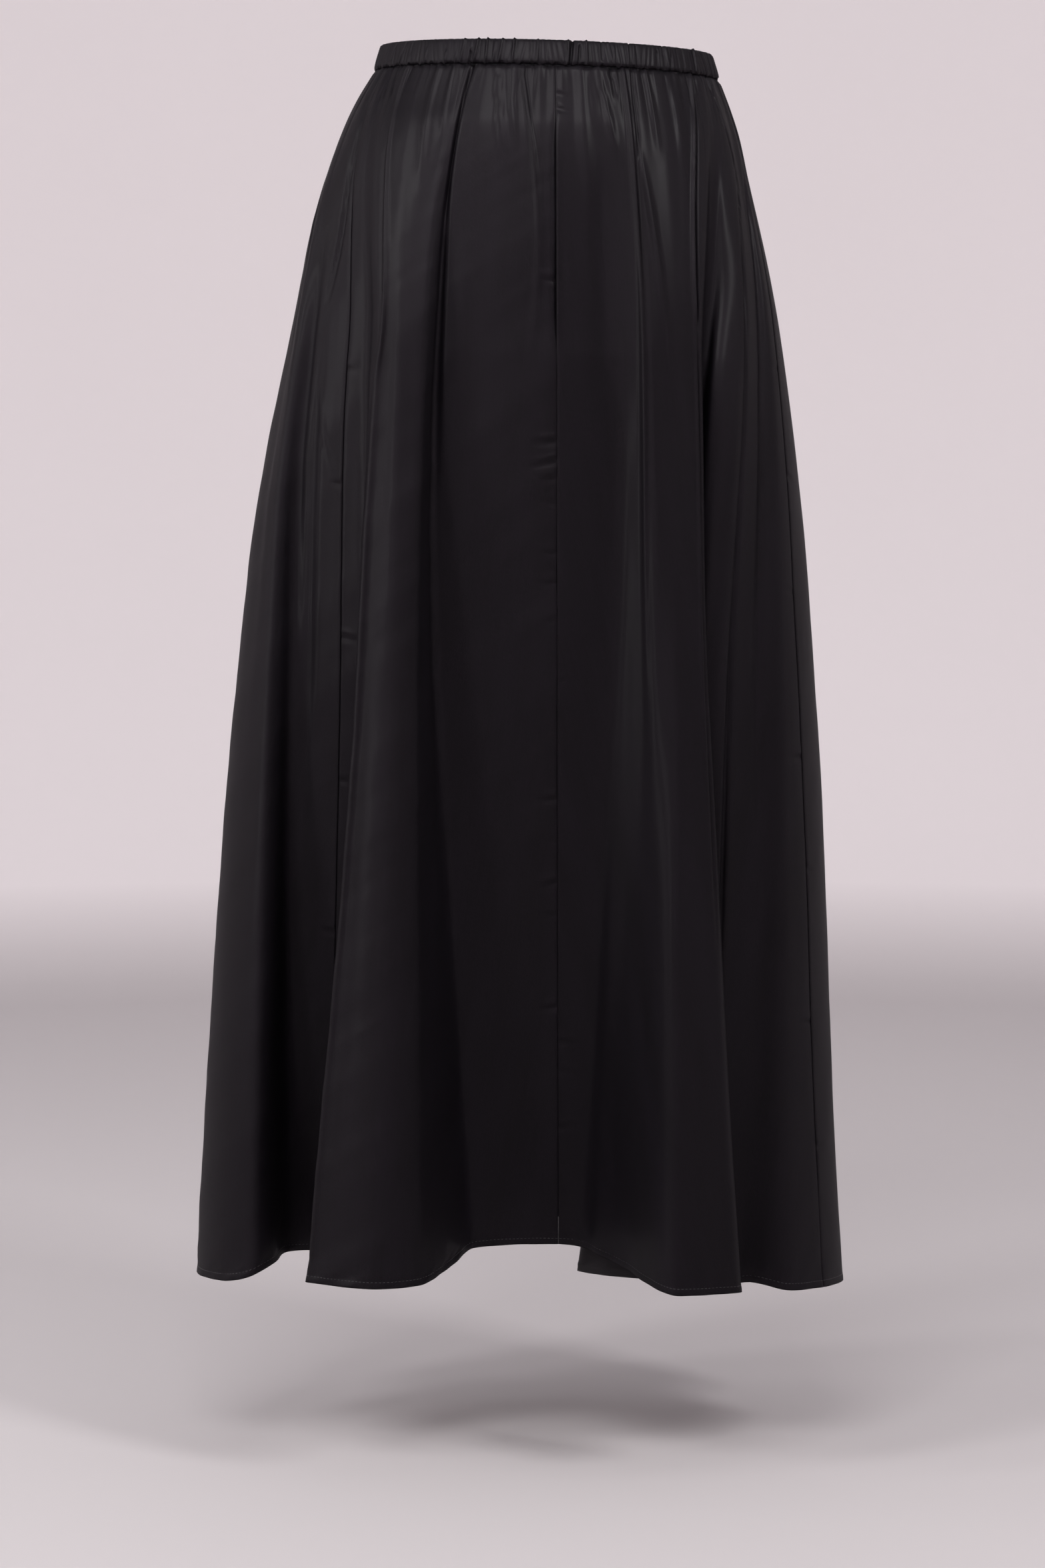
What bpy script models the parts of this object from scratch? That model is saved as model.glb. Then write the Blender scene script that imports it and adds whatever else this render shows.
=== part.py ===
"""Black satin maxi skirt, worn: four flared panels, gathered into an elastic waistband.

Metres, Z up, front towards -Y. The origin is the middle of the waistband, where the
wearer holds the skirt up. Left and right are the wearer's: +X is the wearer's left.
"""

import bmesh
import bpy
import numpy as np

COLLECTION = "satin_maxi_skirt"
WALL = 0.0012            # panel thickness
SEAM_GAP = 0.0003        # clearance between sewn pieces
BAND_HEIGHT = 0.019
BAND_INSET = 0.0004      # how far the band sits in from the panels' outer face
SEAM_Z = -BAND_HEIGHT / 2
HEM_Z = -0.950
HIP, KNEE = 0.235, 0.52  # shares of the way down at which those columns below apply
FRONT_DIP = 0.005        # waist lower in front than at the sides, higher behind
ROLL_WAIST, ROLL_HEM = -0.028, -0.012   # sideways slope: the wearer's right is higher
TURN_RADIUS = 0.0042     # softening of every turn of the cloth
RING_STEPS = 3600
SEAM_COLUMN = 0.0011     # width of the narrow column along each seam, of the whole ring

# Half-sizes of the plain ring, before the folds.
SECTIONS = (
    # z      right   left    front   back
    (-0.010, 0.1345, 0.1345, 0.0960, 0.1000),
    (-0.035, 0.1495, 0.1438, 0.1020, 0.1080),
    (-0.056, 0.1595, 0.1505, 0.1080, 0.1150),
    (-0.098, 0.1742, 0.1603, 0.1140, 0.1260),
    (-0.202, 0.1985, 0.1815, 0.1220, 0.1400),
    (-0.370, 0.2295, 0.2015, 0.1300, 0.1500),
    (-0.582, 0.2495, 0.2155, 0.1380, 0.1600),
    (-0.796, 0.2615, 0.2225, 0.1450, 0.1700),
    (-0.955, 0.2680, 0.2300, 0.1500, 0.1780),
)

# Lines that run down the cloth, in order round the body from the centre front
# through the wearer's left. Angles are degrees at the four stations; "out" is how far
# the line stands off the plain ring, and "up" how far it lifts the hem, in mm.
FOLDS = (
    # name                   waist   hip   knee   hem  out_hip out_hem up
    ("centre_front_seam",      2.5,     2,     2,   2.5,   -2,  -64,   29),
    ("left_front_valley",       14,    15,  13.5,     9,   -4,  -58,   27),
    ("left_front_rise",         24,  21.5,    19,    15,    5,  -20,   19),
    ("left_fold_crest",         40,    30,    26,    22,   10,   44,    9),
    ("left_fold_edge",        56.5,    37,    32,    33,   10,   46,    9),
    ("left_fold_lip",         59.5,    39,    34,    35,    4,   35,    8),
    ("left_fold_return",      61.5,    39,    30,    25,   -3,  -26,    6),
    ("left_fold_inner",         63,    41,    24,   7.5,   -9,  -84,    4),
    ("left_fold_pocket",        65,    43,  25.5,     8,  -10,  -96,    2),
    ("left_under_layer",        68,  46.5,  34.5,    25,   -2,  -55,    2),
    ("left_under_edge",         74,    54,    42,    37,    6,  -18,    2),
    ("left_under_lip",          76,    58,    46,    41,    2,  -16,    2),
    ("left_under_valley",       79,    64,    53,  44.5,   -1,   -8,    4),
    ("left_side_crest",         83,  67.5,    58,  51.5,    3,   12,   -2),
    ("left_side_seam",          88,    72,    65,    63,    3,   14,   -4),
    ("left_outline",            97,    92,  89.5,    87,    2,    4,   -8),
    ("left_back_valley",       110,   106, 102.5,    97,  -10,  -38,   -2),
    ("left_back_crest",        124,   122, 120.5,   118,    4,   22,   -3),
    ("left_back_valley_2",     138,   136,   135,   134,   -8,  -40,    6),
    ("left_back_crest_2",      152,   151, 150.5,   150,    4,   22,    0),
    ("left_back_valley_3",     166,   167, 167.5,   168,   -6,  -36,    6),
    ("centre_back_seam",       180,   180,   180,   181,    2,    6,    2),
    ("right_back_valley_3",    193,   194,   194,   194,   -6,  -30,    6),
    ("right_back_crest_2",     206,   207, 207.5,   208,    4,   24,    0),
    ("right_back_valley_2",    219,   221, 221.5,   222,   -9,  -42,    6),
    ("right_back_crest",       232,   235, 235.5,   236,    4,   20,    0),
    ("right_back_valley",      247,   252,   253,   254,   -8,  -34,    2),
    ("right_outline",          258, 266.5, 267.5, 268.5,    0,    0,   -5),
    ("right_side_crest",       272,   288, 294.5,   300,    3,   28,   -1),
    ("right_side_front",       278,   293, 301.5, 307.5,   10,   22,    7),
    ("right_side_lip",         282,   295,   303, 308.5,    8,    4,   13),
    ("right_side_valley",      286,   297,   304,   305,    6,  -24,   17),
    ("right_side_seam",        292,   313,   317,   313,    4,  -52,   16),
    ("right_fold_tuck",      297.5, 318.5,   323,   322,    5,  -56,   14),
    ("right_fold_pocket",      300,   320,   325,   324,    8,  -45,   14),
    ("right_fold_lip",       302.5, 321.5, 324.5,   322,   14,   26,   12),
    ("right_fold_edge",        305, 323.5,   326,   322,   18,   42,   12),
    ("right_fold_crest",       315,   328,   332, 332.5,   18,   53,   12),
    ("right_fold_shoulder",    328,   334,   337,   340,   14,   34,   13),
    ("right_fold_side",      331.5,   335,   338,   343,    8,   -4,   19),
    ("right_front_valley",     334,   336, 339.5, 345.5,    0,  -48,   27),
)
PANELS = (
    # object               seam at its start    seam at its end      columns
    ("front_panel_left",  "centre_front_seam", "left_side_seam",        52),
    ("back_panel_left",   "left_side_seam",    "centre_back_seam",      40),
    ("back_panel_right",  "centre_back_seam",  "right_side_seam",       46),
    ("front_panel_right", "right_side_seam",   "centre_front_seam",     40),
)
LEVELS = (0, 0.012, 0.028, 0.05, 0.085, 0.14, 0.21, 0.30, 0.41, 0.53, 0.66, 0.79, 0.90, 1)

# Gathers under the waistband: the lists repeat at different lengths, so no two
# stretches of the seam match.
GATHERS = 42
GATHER_WIDTHS = (1.0, 0.7, 1.3, 0.9, 1.2, 0.6, 1.1, 0.8, 1.5)
GATHER_DEPTHS = (1.6, 1.0, 1.9, 1.2, 0.8, 1.7, 1.3)             # mm at the seam
GATHER_LENGTHS = (0.045, 0.075, 0.035, 0.06, 0.11)              # share of the drop

# Waistband: one looped casing. Offsets out of the ring and up from its middle, in mm,
# and how much of a ridge each point carries: none inside, most half way up outside.
BAND_PROFILE = (
    # out    up     ridge
    (-1.3,  -9.5,   0.0),
    (-1.3,   8.1,   0.0),
    ( 0.0,   9.5,   0.5),
    ( 1.0,   7.4,   0.9),
    ( 1.4,   0.0,   1.0),
    ( 1.2,  -6.8,   0.9),
    ( 0.3,  -9.5,   0.5),
)
BAND_TAPER = 0.0052      # how much further in the band's top is than its bottom
RIDGES = 56
RIDGE_WIDTHS = (1.0, 1.4, 0.7, 1.1, 0.8, 1.3, 0.9)
RIDGE_HEIGHTS = (0.9, 0.6, 1.0, 0.5, 0.8)                       # mm
RIDGE_SHAPE = (-0.5, 0.2, 0.5, 0.2)                             # across one ridge
SATIN_BLACK = (0.016, 0.015, 0.017, 1)


def smooth_curve(knots, values, at):
    """A cubic through the knots that never runs past a row of the table."""
    x, y = np.asarray(knots, float), np.asarray(values, float)
    spacing = np.diff(x)
    width = spacing.reshape((-1,) + (1,) * (y.ndim - 1))
    slope, tangent = np.diff(y, axis=0) / width, np.zeros_like(y)
    low, high = 2 * width[1:] + width[:-1], width[1:] + 2 * width[:-1]
    turns = slope[:-1] * slope[1:] <= 0
    safe_a = np.where(turns, 1.0, slope[:-1])
    safe_b = np.where(turns, 1.0, slope[1:])
    tangent[1:-1] = np.where(turns, 0.0, (low + high) / (low / safe_a + high / safe_b))
    tangent[0], tangent[-1] = slope[0], slope[-1]
    i = np.clip(np.searchsorted(x, at, side="right") - 1, 0, len(x) - 2)
    t, step = (at - x[i]) / spacing[i], spacing[i]
    return (
        y[i] * (1 + 2 * t) * (1 - t) ** 2
        + step * tangent[i] * t * (1 - t) ** 2
        + y[i + 1] * t * t * (3 - 2 * t)
        + step * tangent[i + 1] * t * t * (t - 1)
    )


def plain_ring(angle, z):
    """Points and outward directions, in plan, of the ring without folds."""
    rows = np.array(SECTIONS)
    drop = np.clip(-np.asarray(z, float), -rows[0, 0], -rows[-1, 0])
    right, left, front, back = (
        smooth_curve(-rows[:, 0], rows[:, k], drop) for k in range(1, 5)
    )
    to_left = 0.5 + 0.5 * np.tanh(3 * np.sin(angle))
    to_front = 0.5 + 0.5 * np.tanh(3 * np.cos(angle))
    a = right + (left - right) * to_left
    b = back + (front - back) * to_front
    x, y = a * np.sin(angle), -b * np.cos(angle)
    nx, ny = np.sin(angle) / a, -np.cos(angle) / b
    size = np.hypot(nx, ny)
    return x, y, nx / size, ny / size


def fold_rows():
    """The fold table with its first row again at the end, a whole turn on."""
    rows = np.array([row[1:] for row in FOLDS], float)
    last = rows[0].copy()
    last[:4] += 360
    return np.vstack([rows, last])


def cloth_places():
    """Where each fold line lies round the cloth, 0 to 1: shared by all levels."""
    rows = fold_rows()
    x, y, nx, ny = plain_ring(np.radians(rows[:, 3]), HEM_Z)
    x, y = x + rows[:, 5] / 1000 * nx, y + rows[:, 5] / 1000 * ny
    hem = np.hypot(np.diff(x), np.diff(y))
    waist = np.diff(rows[:, 0]) / 360
    places = np.cumsum(0.6 * hem / hem.sum() + 0.4 * waist)
    return np.concatenate([[0], places / places[-1]])


ROWS, PLACES = fold_rows(), cloth_places()
PLACE = {row[0]: PLACES[i] for i, row in enumerate(FOLDS)}


def round_the_cloth(column, s):
    """A column of the fold table at any place s, joined smoothly at the front seam."""
    turn = 360 if column < 4 else 0
    x = np.concatenate([PLACES[-4:-1] - 1, PLACES, PLACES[1:4] + 1])
    v = ROWS[:, column]
    y = np.concatenate([v[-4:-1] - turn, v, v[1:4] + turn])
    return smooth_curve(x, y, s)


def uneven(count, widths):
    """Boundaries from 0 to 1 of `count` stretches whose widths repeat a short list."""
    steps = np.array([widths[i % len(widths)] for i in range(count)])
    return np.concatenate([[0], np.cumsum(steps) / steps.sum()])


def gather_height(angle, v):
    """How far the small gathers raise the cloth, outwards, at waist angle `angle`."""
    turn = (angle / (2 * np.pi)) % 1
    edges = uneven(GATHERS, GATHER_WIDTHS)
    i = np.clip(np.searchsorted(edges, turn, side="right") - 1, 0, GATHERS - 1)
    across = (turn - edges[i]) / (edges[i + 1] - edges[i])
    depth = np.array(GATHER_DEPTHS)[i % len(GATHER_DEPTHS)] / 1000
    length = np.array(GATHER_LENGTHS)[i % len(GATHER_LENGTHS)]
    return depth * (np.sin(np.pi * across) ** 2 - 0.5) * np.exp(-((v / length) ** 1.3))


def softened(points):
    """The closed ring with every turn rounded to about TURN_RADIUS."""
    step = np.linalg.norm(np.roll(points, -1, axis=0) - points, axis=1).mean()
    wave = 2 * np.pi * np.fft.rfftfreq(len(points))
    keep = np.exp(-0.5 * (wave * TURN_RADIUS / step) ** 2)
    return np.fft.irfft(np.fft.rfft(points, axis=0) * keep[:, None], len(points), axis=0)


def cloth_ring(v):
    """Outer points, outward directions and running length of the cloth, at share v."""
    s = np.arange(RING_STEPS) / RING_STEPS
    waist, hip, knee, hem, out_hip, out_hem, up = (round_the_cloth(k, s) for k in range(7))
    angle = np.radians(smooth_curve((0, HIP, KNEE, 1), (waist, hip, knee, hem), v))
    if v < HIP:
        out = out_hip * (v / HIP) ** 2 * (3 - 2 * v / HIP)
    else:
        out = out_hip + (out_hem - out_hip) * ((v - HIP) / (1 - HIP)) ** 1.15
    x, y, nx, ny = plain_ring(angle, SEAM_Z + (HEM_Z - SEAM_Z) * v)
    x, y = x + out / 1000 * nx, y + out / 1000 * ny
    z = SEAM_Z + (HEM_Z - SEAM_Z) * v + up / 1000 * v**3
    points = softened(np.stack([x, y, z], axis=1))
    along = np.roll(points, -1, axis=0) - np.roll(points, 1, axis=0)
    normal = np.stack([along[:, 1], -along[:, 0]], axis=1)
    normal /= np.linalg.norm(normal, axis=1)[:, None]
    points[:, :2] += normal * gather_height(np.radians(waist), v)[:, None]
    points[:, 2] += sway(points, v)
    points = np.vstack([points, points[:1]])
    normal = np.vstack([normal, normal[:1]])
    length = np.concatenate(
        [[0], np.cumsum(np.linalg.norm(np.diff(points[:, :2], axis=0), axis=1))]
    )
    return points, normal, length


def sway(points, v):
    """Height that the tilt of the waist adds, which fades towards the hem."""
    roll = ROLL_WAIST + (ROLL_HEM - ROLL_WAIST) * v
    return roll * points[:, 0] + FRONT_DIP * (1 - v) * points[:, 1] / 0.1


def at_length(ring, lengths):
    points, normal, length = ring
    pick = lambda values: np.stack(
        [np.interp(lengths, length, values[:, k]) for k in range(values.shape[1])], axis=1
    )
    directions = pick(normal)
    return pick(points), directions / np.linalg.norm(directions, axis=1)[:, None]


def column_places(start, end, count):
    """Places of a panel's columns: closer together where the hem turns sharply, and a
    narrow one along each seam, so that the wall's edge stands square to the cloth."""
    s = np.arange(RING_STEPS + 1) / RING_STEPS
    _, normal, length = cloth_ring(1.0)
    bend = np.abs(np.diff(np.unwrap(np.arctan2(normal[:, 1], normal[:, 0]))))
    bend = np.convolve(np.concatenate([bend[-15:], bend, bend[:15]]), np.ones(31) / 31, "valid")
    weight = 0.35 * np.diff(length) / length[-1] + 0.40 / RING_STEPS + 0.25 * bend / bend.sum()
    run = np.concatenate([[0], np.cumsum(weight)])
    low, high = np.interp([start + SEAM_COLUMN, end - SEAM_COLUMN], s, run)
    inside = np.interp(np.linspace(low, high, count - 1), run, s)
    return np.concatenate([[start], inside, [end]])


def finished(name, bm):
    """The object of a bmesh, in its own satin, shaded smooth."""
    bmesh.ops.recalc_face_normals(bm, faces=bm.faces)
    for face in bm.faces:
        face.smooth = True
    mesh = bpy.data.meshes.new(name)
    bm.to_mesh(mesh)
    bm.free()
    obj = bpy.data.objects.new(name, mesh)
    material = bpy.data.materials.new(name + "_satin")
    material.use_nodes = True
    shader = material.node_tree.nodes["Principled BSDF"]
    shader.inputs["Base Color"].default_value = SATIN_BLACK
    shader.inputs["Roughness"].default_value = 0.42
    shader.inputs["Metallic"].default_value = 0.0
    mesh.materials.append(material)
    return obj


def grid_to(points):
    """A bmesh grid whose vertices are moved to points[row, column]."""
    rows, columns = points.shape[0] - 1, points.shape[1] - 1
    bm = bmesh.new()
    bmesh.ops.create_grid(bm, x_segments=columns, y_segments=rows, size=1)
    for vert in bm.verts:
        column = round((vert.co.x + 1) / 2 * columns)
        row = round((vert.co.y + 1) / 2 * rows)
        vert.co = points[row, column]
    return bm


def panel(name, start, end, count):
    """A panel: one sheet of cloth from band to hem, thickened inwards."""
    places = column_places(PLACE[start], PLACE[end] or 1.0, count)
    sheet = np.empty((len(LEVELS), count + 1, 3))
    for k, v in enumerate(LEVELS):
        ring = cloth_ring(v)
        lengths = np.interp(places * RING_STEPS, np.arange(RING_STEPS + 1), ring[2])
        lengths[0] += SEAM_GAP / 2
        lengths[-1] -= SEAM_GAP / 2
        sheet[k], _ = at_length(ring, lengths)
    sheet[0, :, 2] -= SEAM_GAP
    bm = grid_to(sheet)
    bmesh.ops.recalc_face_normals(bm, faces=bm.faces)
    obj = finished(name, bm)
    if obj.data.polygons[0].normal.dot(sheet[0, 0] * (1, 1, 0)) < 0:
        obj.data.flip_normals()
    wall = obj.modifiers.new("wall", "SOLIDIFY")
    wall.thickness = WALL
    wall.offset = -1
    wall.use_quality_normals = True
    return obj


def waistband():
    """The looped casing: ridges in its outer points over a plain inner face."""
    edges = uneven(RIDGES, RIDGE_WIDTHS)
    turns = np.concatenate(
        [edges[i] + (edges[i + 1] - edges[i]) * np.arange(4) / 4 for i in range(RIDGES)]
    )
    ridge = np.concatenate(
        [RIDGE_HEIGHTS[i % len(RIDGE_HEIGHTS)] * np.array(RIDGE_SHAPE) for i in range(RIDGES)]
    )
    angle = 2 * np.pi * turns
    x, y, nx, ny = plain_ring(angle, SEAM_Z)
    rows = []
    for out, up, share in BAND_PROFILE:
        inset = BAND_TAPER * (up / 1000 - SEAM_Z) / BAND_HEIGHT
        reach = (out + ridge * share) / 1000 - inset - BAND_INSET
        rise = ridge / 3000 if up == BAND_HEIGHT * 500 else 0
        points = np.stack([x + reach * nx, y + reach * ny, up / 1000 + rise + 0 * x], axis=1)
        points[:, 2] += sway(points, 0)
        rows.append(np.vstack([points, points[:1]]))
    bm = grid_to(np.array(rows + rows[:1]))
    bmesh.ops.remove_doubles(bm, verts=bm.verts, dist=1e-7)
    return finished("waistband", bm)


def main():
    for obj in list(bpy.data.objects):
        bpy.data.objects.remove(obj, do_unlink=True)
    skirt = bpy.data.collections.new(COLLECTION)
    bpy.context.scene.collection.children.link(skirt)
    for row in PANELS:
        skirt.objects.link(panel(*row))
    skirt.objects.link(waistband())


main()
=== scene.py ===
"""A black satin maxi skirt as worn: four flared panels gathered into an elastic casing.

Metres, Z up, front towards -Y, origin in the middle of the waistband. Left and right
are the wearer's: +X is the wearer's left. Every piece follows the solids in the frame.
"""

import math

import bmesh
import bpy
import numpy as np
from bpy.props import FloatProperty, FloatVectorProperty, PointerProperty
from mathutils import Matrix, Vector


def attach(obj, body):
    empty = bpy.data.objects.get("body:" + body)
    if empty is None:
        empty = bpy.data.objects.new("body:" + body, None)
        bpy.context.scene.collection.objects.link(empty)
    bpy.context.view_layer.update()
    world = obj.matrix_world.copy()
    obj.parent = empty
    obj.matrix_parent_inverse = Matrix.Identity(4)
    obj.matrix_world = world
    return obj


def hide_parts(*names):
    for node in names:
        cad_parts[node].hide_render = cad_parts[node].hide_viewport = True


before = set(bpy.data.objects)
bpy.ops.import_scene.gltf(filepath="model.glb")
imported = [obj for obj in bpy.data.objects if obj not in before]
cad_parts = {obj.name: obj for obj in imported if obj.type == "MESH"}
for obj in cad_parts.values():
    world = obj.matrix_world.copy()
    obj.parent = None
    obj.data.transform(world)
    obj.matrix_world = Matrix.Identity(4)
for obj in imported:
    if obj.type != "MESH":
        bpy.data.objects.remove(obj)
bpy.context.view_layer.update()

bl_info = {
    "name": "Satin Maxi Skirt",
    "version": (1, 0, 0),
    "blender": (4, 5, 0),
    "location": "View3D > Sidebar > Skirt",
    "description": "Builds a gathered satin maxi skirt and a plain studio around it",
    "category": "Add Mesh",
}

MM = 0.001
BAND_HEIGHT = 0.019
BAND_INSET = 0.0004             # how far the casing stands inside the ring
BAND_TAPER = 0.0052             # how far its top leans in
SEAM_GAP = 0.00004              # left between two sheets
SEAM_Z = -BAND_HEIGHT / 2       # where the cloth joins the band
HEM_Z = -0.950
DROP = SEAM_Z - HEM_Z
HIP, KNEE = 0.235, 0.52         # shares of the drop
FRONT_DIP = 0.005               # how much lower the waist lies 0.1 m further forward
ROLL_WAIST, ROLL_HEM = -0.028, -0.012    # how much higher waist and hem lie a metre to the left
TURN_RADIUS = 0.0042            # of the tightest turns of the folds
RING_STEPS = 3600
RING_S = np.arange(RING_STEPS + 1) / RING_STEPS
HEM_WEIGHT = 0.6                # how far the hem, not the waist, spaces the lines round the cloth
SIDE_CHANGE = 3                 # how soon the ring goes from one half-size to the next

# Soft gathers under the band.
GATHERS = 42
GATHER_WIDTHS = (1.0, 0.7, 1.3, 0.9, 1.2, 0.6, 1.1, 0.8, 1.5)
GATHER_DEPTHS = (1.6, 1.0, 1.9, 1.2, 0.8, 1.7, 1.3)             # mm
GATHER_LENGTHS = (0.045, 0.075, 0.035, 0.06, 0.11)              # shares of the drop

# Half-sizes of the plain ring, before the folds.
SECTIONS = (
    # z      right   left    front   back
    (-0.010, 0.1345, 0.1345, 0.0960, 0.1000),
    (-0.035, 0.1495, 0.1438, 0.1020, 0.1080),
    (-0.056, 0.1595, 0.1505, 0.1080, 0.1150),
    (-0.098, 0.1742, 0.1603, 0.1140, 0.1260),
    (-0.202, 0.1985, 0.1815, 0.1220, 0.1400),
    (-0.370, 0.2295, 0.2015, 0.1300, 0.1500),
    (-0.582, 0.2495, 0.2155, 0.1380, 0.1600),
    (-0.796, 0.2615, 0.2225, 0.1450, 0.1700),
    (-0.955, 0.2680, 0.2300, 0.1500, 0.1780),
)

# Lines that run down the cloth from the centre front through the wearer's left:
# degrees at the four stations, and how far they stand off the ring, in mm.
FOLDS = (
    # name                waist    hip   knee    hem  out: hip, hem, and up
    ("centre_front_seam",     2.5,     2,     2,   2.5,  -2, -64, 29),
    ("left_front_valley",      14,    15,  13.5,     9,  -4, -58, 27),
    ("left_front_rise",        24,  21.5,    19,    15,   5, -20, 19),
    ("left_fold_crest",        40,    30,    26,    22,  10,  44,  9),
    ("left_fold_edge",       56.5,    37,    32,    33,  10,  46,  9),
    ("left_fold_lip",        59.5,    39,    34,    35,   4,  35,  8),
    ("left_fold_return",     61.5,    39,    30,    25,  -3, -26,  6),
    ("left_fold_inner",        63,    41,    24,   7.5,  -9, -84,  4),
    ("left_fold_pocket",       65,    43,  25.5,     8, -10, -96,  2),
    ("left_under_layer",       68,  46.5,  34.5,    25,  -2, -55,  2),
    ("left_under_edge",        74,    54,    42,    37,   6, -18,  2),
    ("left_under_lip",         76,    58,    46,    41,   2, -16,  2),
    ("left_under_valley",      79,    64,    53,  44.5,  -1,  -8,  4),
    ("left_side_crest",        83,  67.5,    58,  51.5,   3,  12, -2),
    ("left_side_seam",         88,    72,    65,    63,   3,  14, -4),
    ("left_outline",           97,    92,  89.5,    87,   2,   4, -8),
    ("left_back_valley",      110,   106, 102.5,    97, -10, -38, -2),
    ("left_back_crest",       124,   122, 120.5,   118,   4,  22, -3),
    ("left_back_valley_2",    138,   136,   135,   134,  -8, -40,  6),
    ("left_back_crest_2",     152,   151, 150.5,   150,   4,  22,  0),
    ("left_back_valley_3",    166,   167, 167.5,   168,  -6, -36,  6),
    ("centre_back_seam",      180,   180,   180,   181,   2,   6,  2),
    ("right_back_valley_3",   193,   194,   194,   194,  -6, -30,  6),
    ("right_back_crest_2",    206,   207, 207.5,   208,   4,  24,  0),
    ("right_back_valley_2",   219,   221, 221.5,   222,  -9, -42,  6),
    ("right_back_crest",      232,   235, 235.5,   236,   4,  20,  0),
    ("right_back_valley",     247,   252,   253,   254,  -8, -34,  2),
    ("right_outline",         258, 266.5, 267.5, 268.5,   0,   0, -5),
    ("right_side_crest",      272,   288, 294.5,   300,   3,  28, -1),
    ("right_side_front",      278,   293, 301.5, 307.5,  10,  22,  7),
    ("right_side_lip",        282,   295,   303, 308.5,   8,   4, 13),
    ("right_side_valley",     286,   297,   304,   305,   6, -24, 17),
    ("right_side_seam",       292,   313,   317,   313,   4, -52, 16),
    ("right_fold_tuck",     297.5, 318.5,   323,   322,   5, -56, 14),
    ("right_fold_pocket",     300,   320,   325,   324,   8, -45, 14),
    ("right_fold_lip",      302.5, 321.5, 324.5,   322,  14,  26, 12),
    ("right_fold_edge",       305, 323.5,   326,   322,  18,  42, 12),
    ("right_fold_crest",      315,   328,   332, 332.5,  18,  53, 12),
    ("right_fold_shoulder",   328,   334,   337,   340,  14,  34, 13),
    ("right_fold_side",     331.5,   335,   338,   343,   8,  -4, 19),
    ("right_front_valley",    334,   336, 339.5, 345.5,   0, -48, 27),
)

# Each panel of cloth: what it stands for, the seams it runs between, how many columns
# its sheet has, and the width (metres) and area (square metres) of the piece it is cut from.
PANELS = (
    # object              replaces             from                 to                   columns, cut
    ("satin_front_left",  "front_panel_left",  "centre_front_seam", "left_side_seam",    186, 0.60, 0.40),
    ("satin_back_left",   "back_panel_left",   "left_side_seam",    "centre_back_seam",  160, 0.60, 0.40),
    ("satin_back_right",  "back_panel_right",  "centre_back_seam",  "right_side_seam",   180, 0.72, 0.49),
    ("satin_front_right", "front_panel_right", "right_side_seam",   "centre_front_seam", 154, 0.46, 0.30),
)

# Rows of the sheets: closer together where the gathers and the hem are.
ROW_ZONES = (
    # from   to     rows
    (0.000, 0.012,  8),
    (0.012, 0.110, 36),
    (0.110, 0.400, 52),
    (0.400, 0.988, 84),
    (0.988, 1.000,  8),
)
SEAM_COLUMNS = (0.0, 0.5, 1.1, 1.8, 2.8, 4.2, 6.0, 8.5)         # mm in from a seam
DIMPLE_ROWS = 2.1               # mm between rows at a dimple
ROW_GAP = 0.8                   # mm that rows are apart at least
INNER_TURN = 0.45               # share of a doubled wall that a single layer has

# Close pinches at the band, between the gathers.
PINCHES = 104
PINCH_WIDTHS = (1.0, 0.6, 1.5, 0.8, 1.2, 0.5, 0.9, 1.4, 0.7, 1.1, 0.65)
PINCH_DEPTHS = (1.4, 0.6, 2.0, 0.9, 1.6, 0.5, 2.4, 1.1, 0.8, 1.7, 1.2, 0.6, 1.9)        # mm
PINCH_LENGTHS = (0.012, 0.024, 0.008, 0.034, 0.014, 0.010, 0.028, 0.018, 0.009)         # shares

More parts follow.
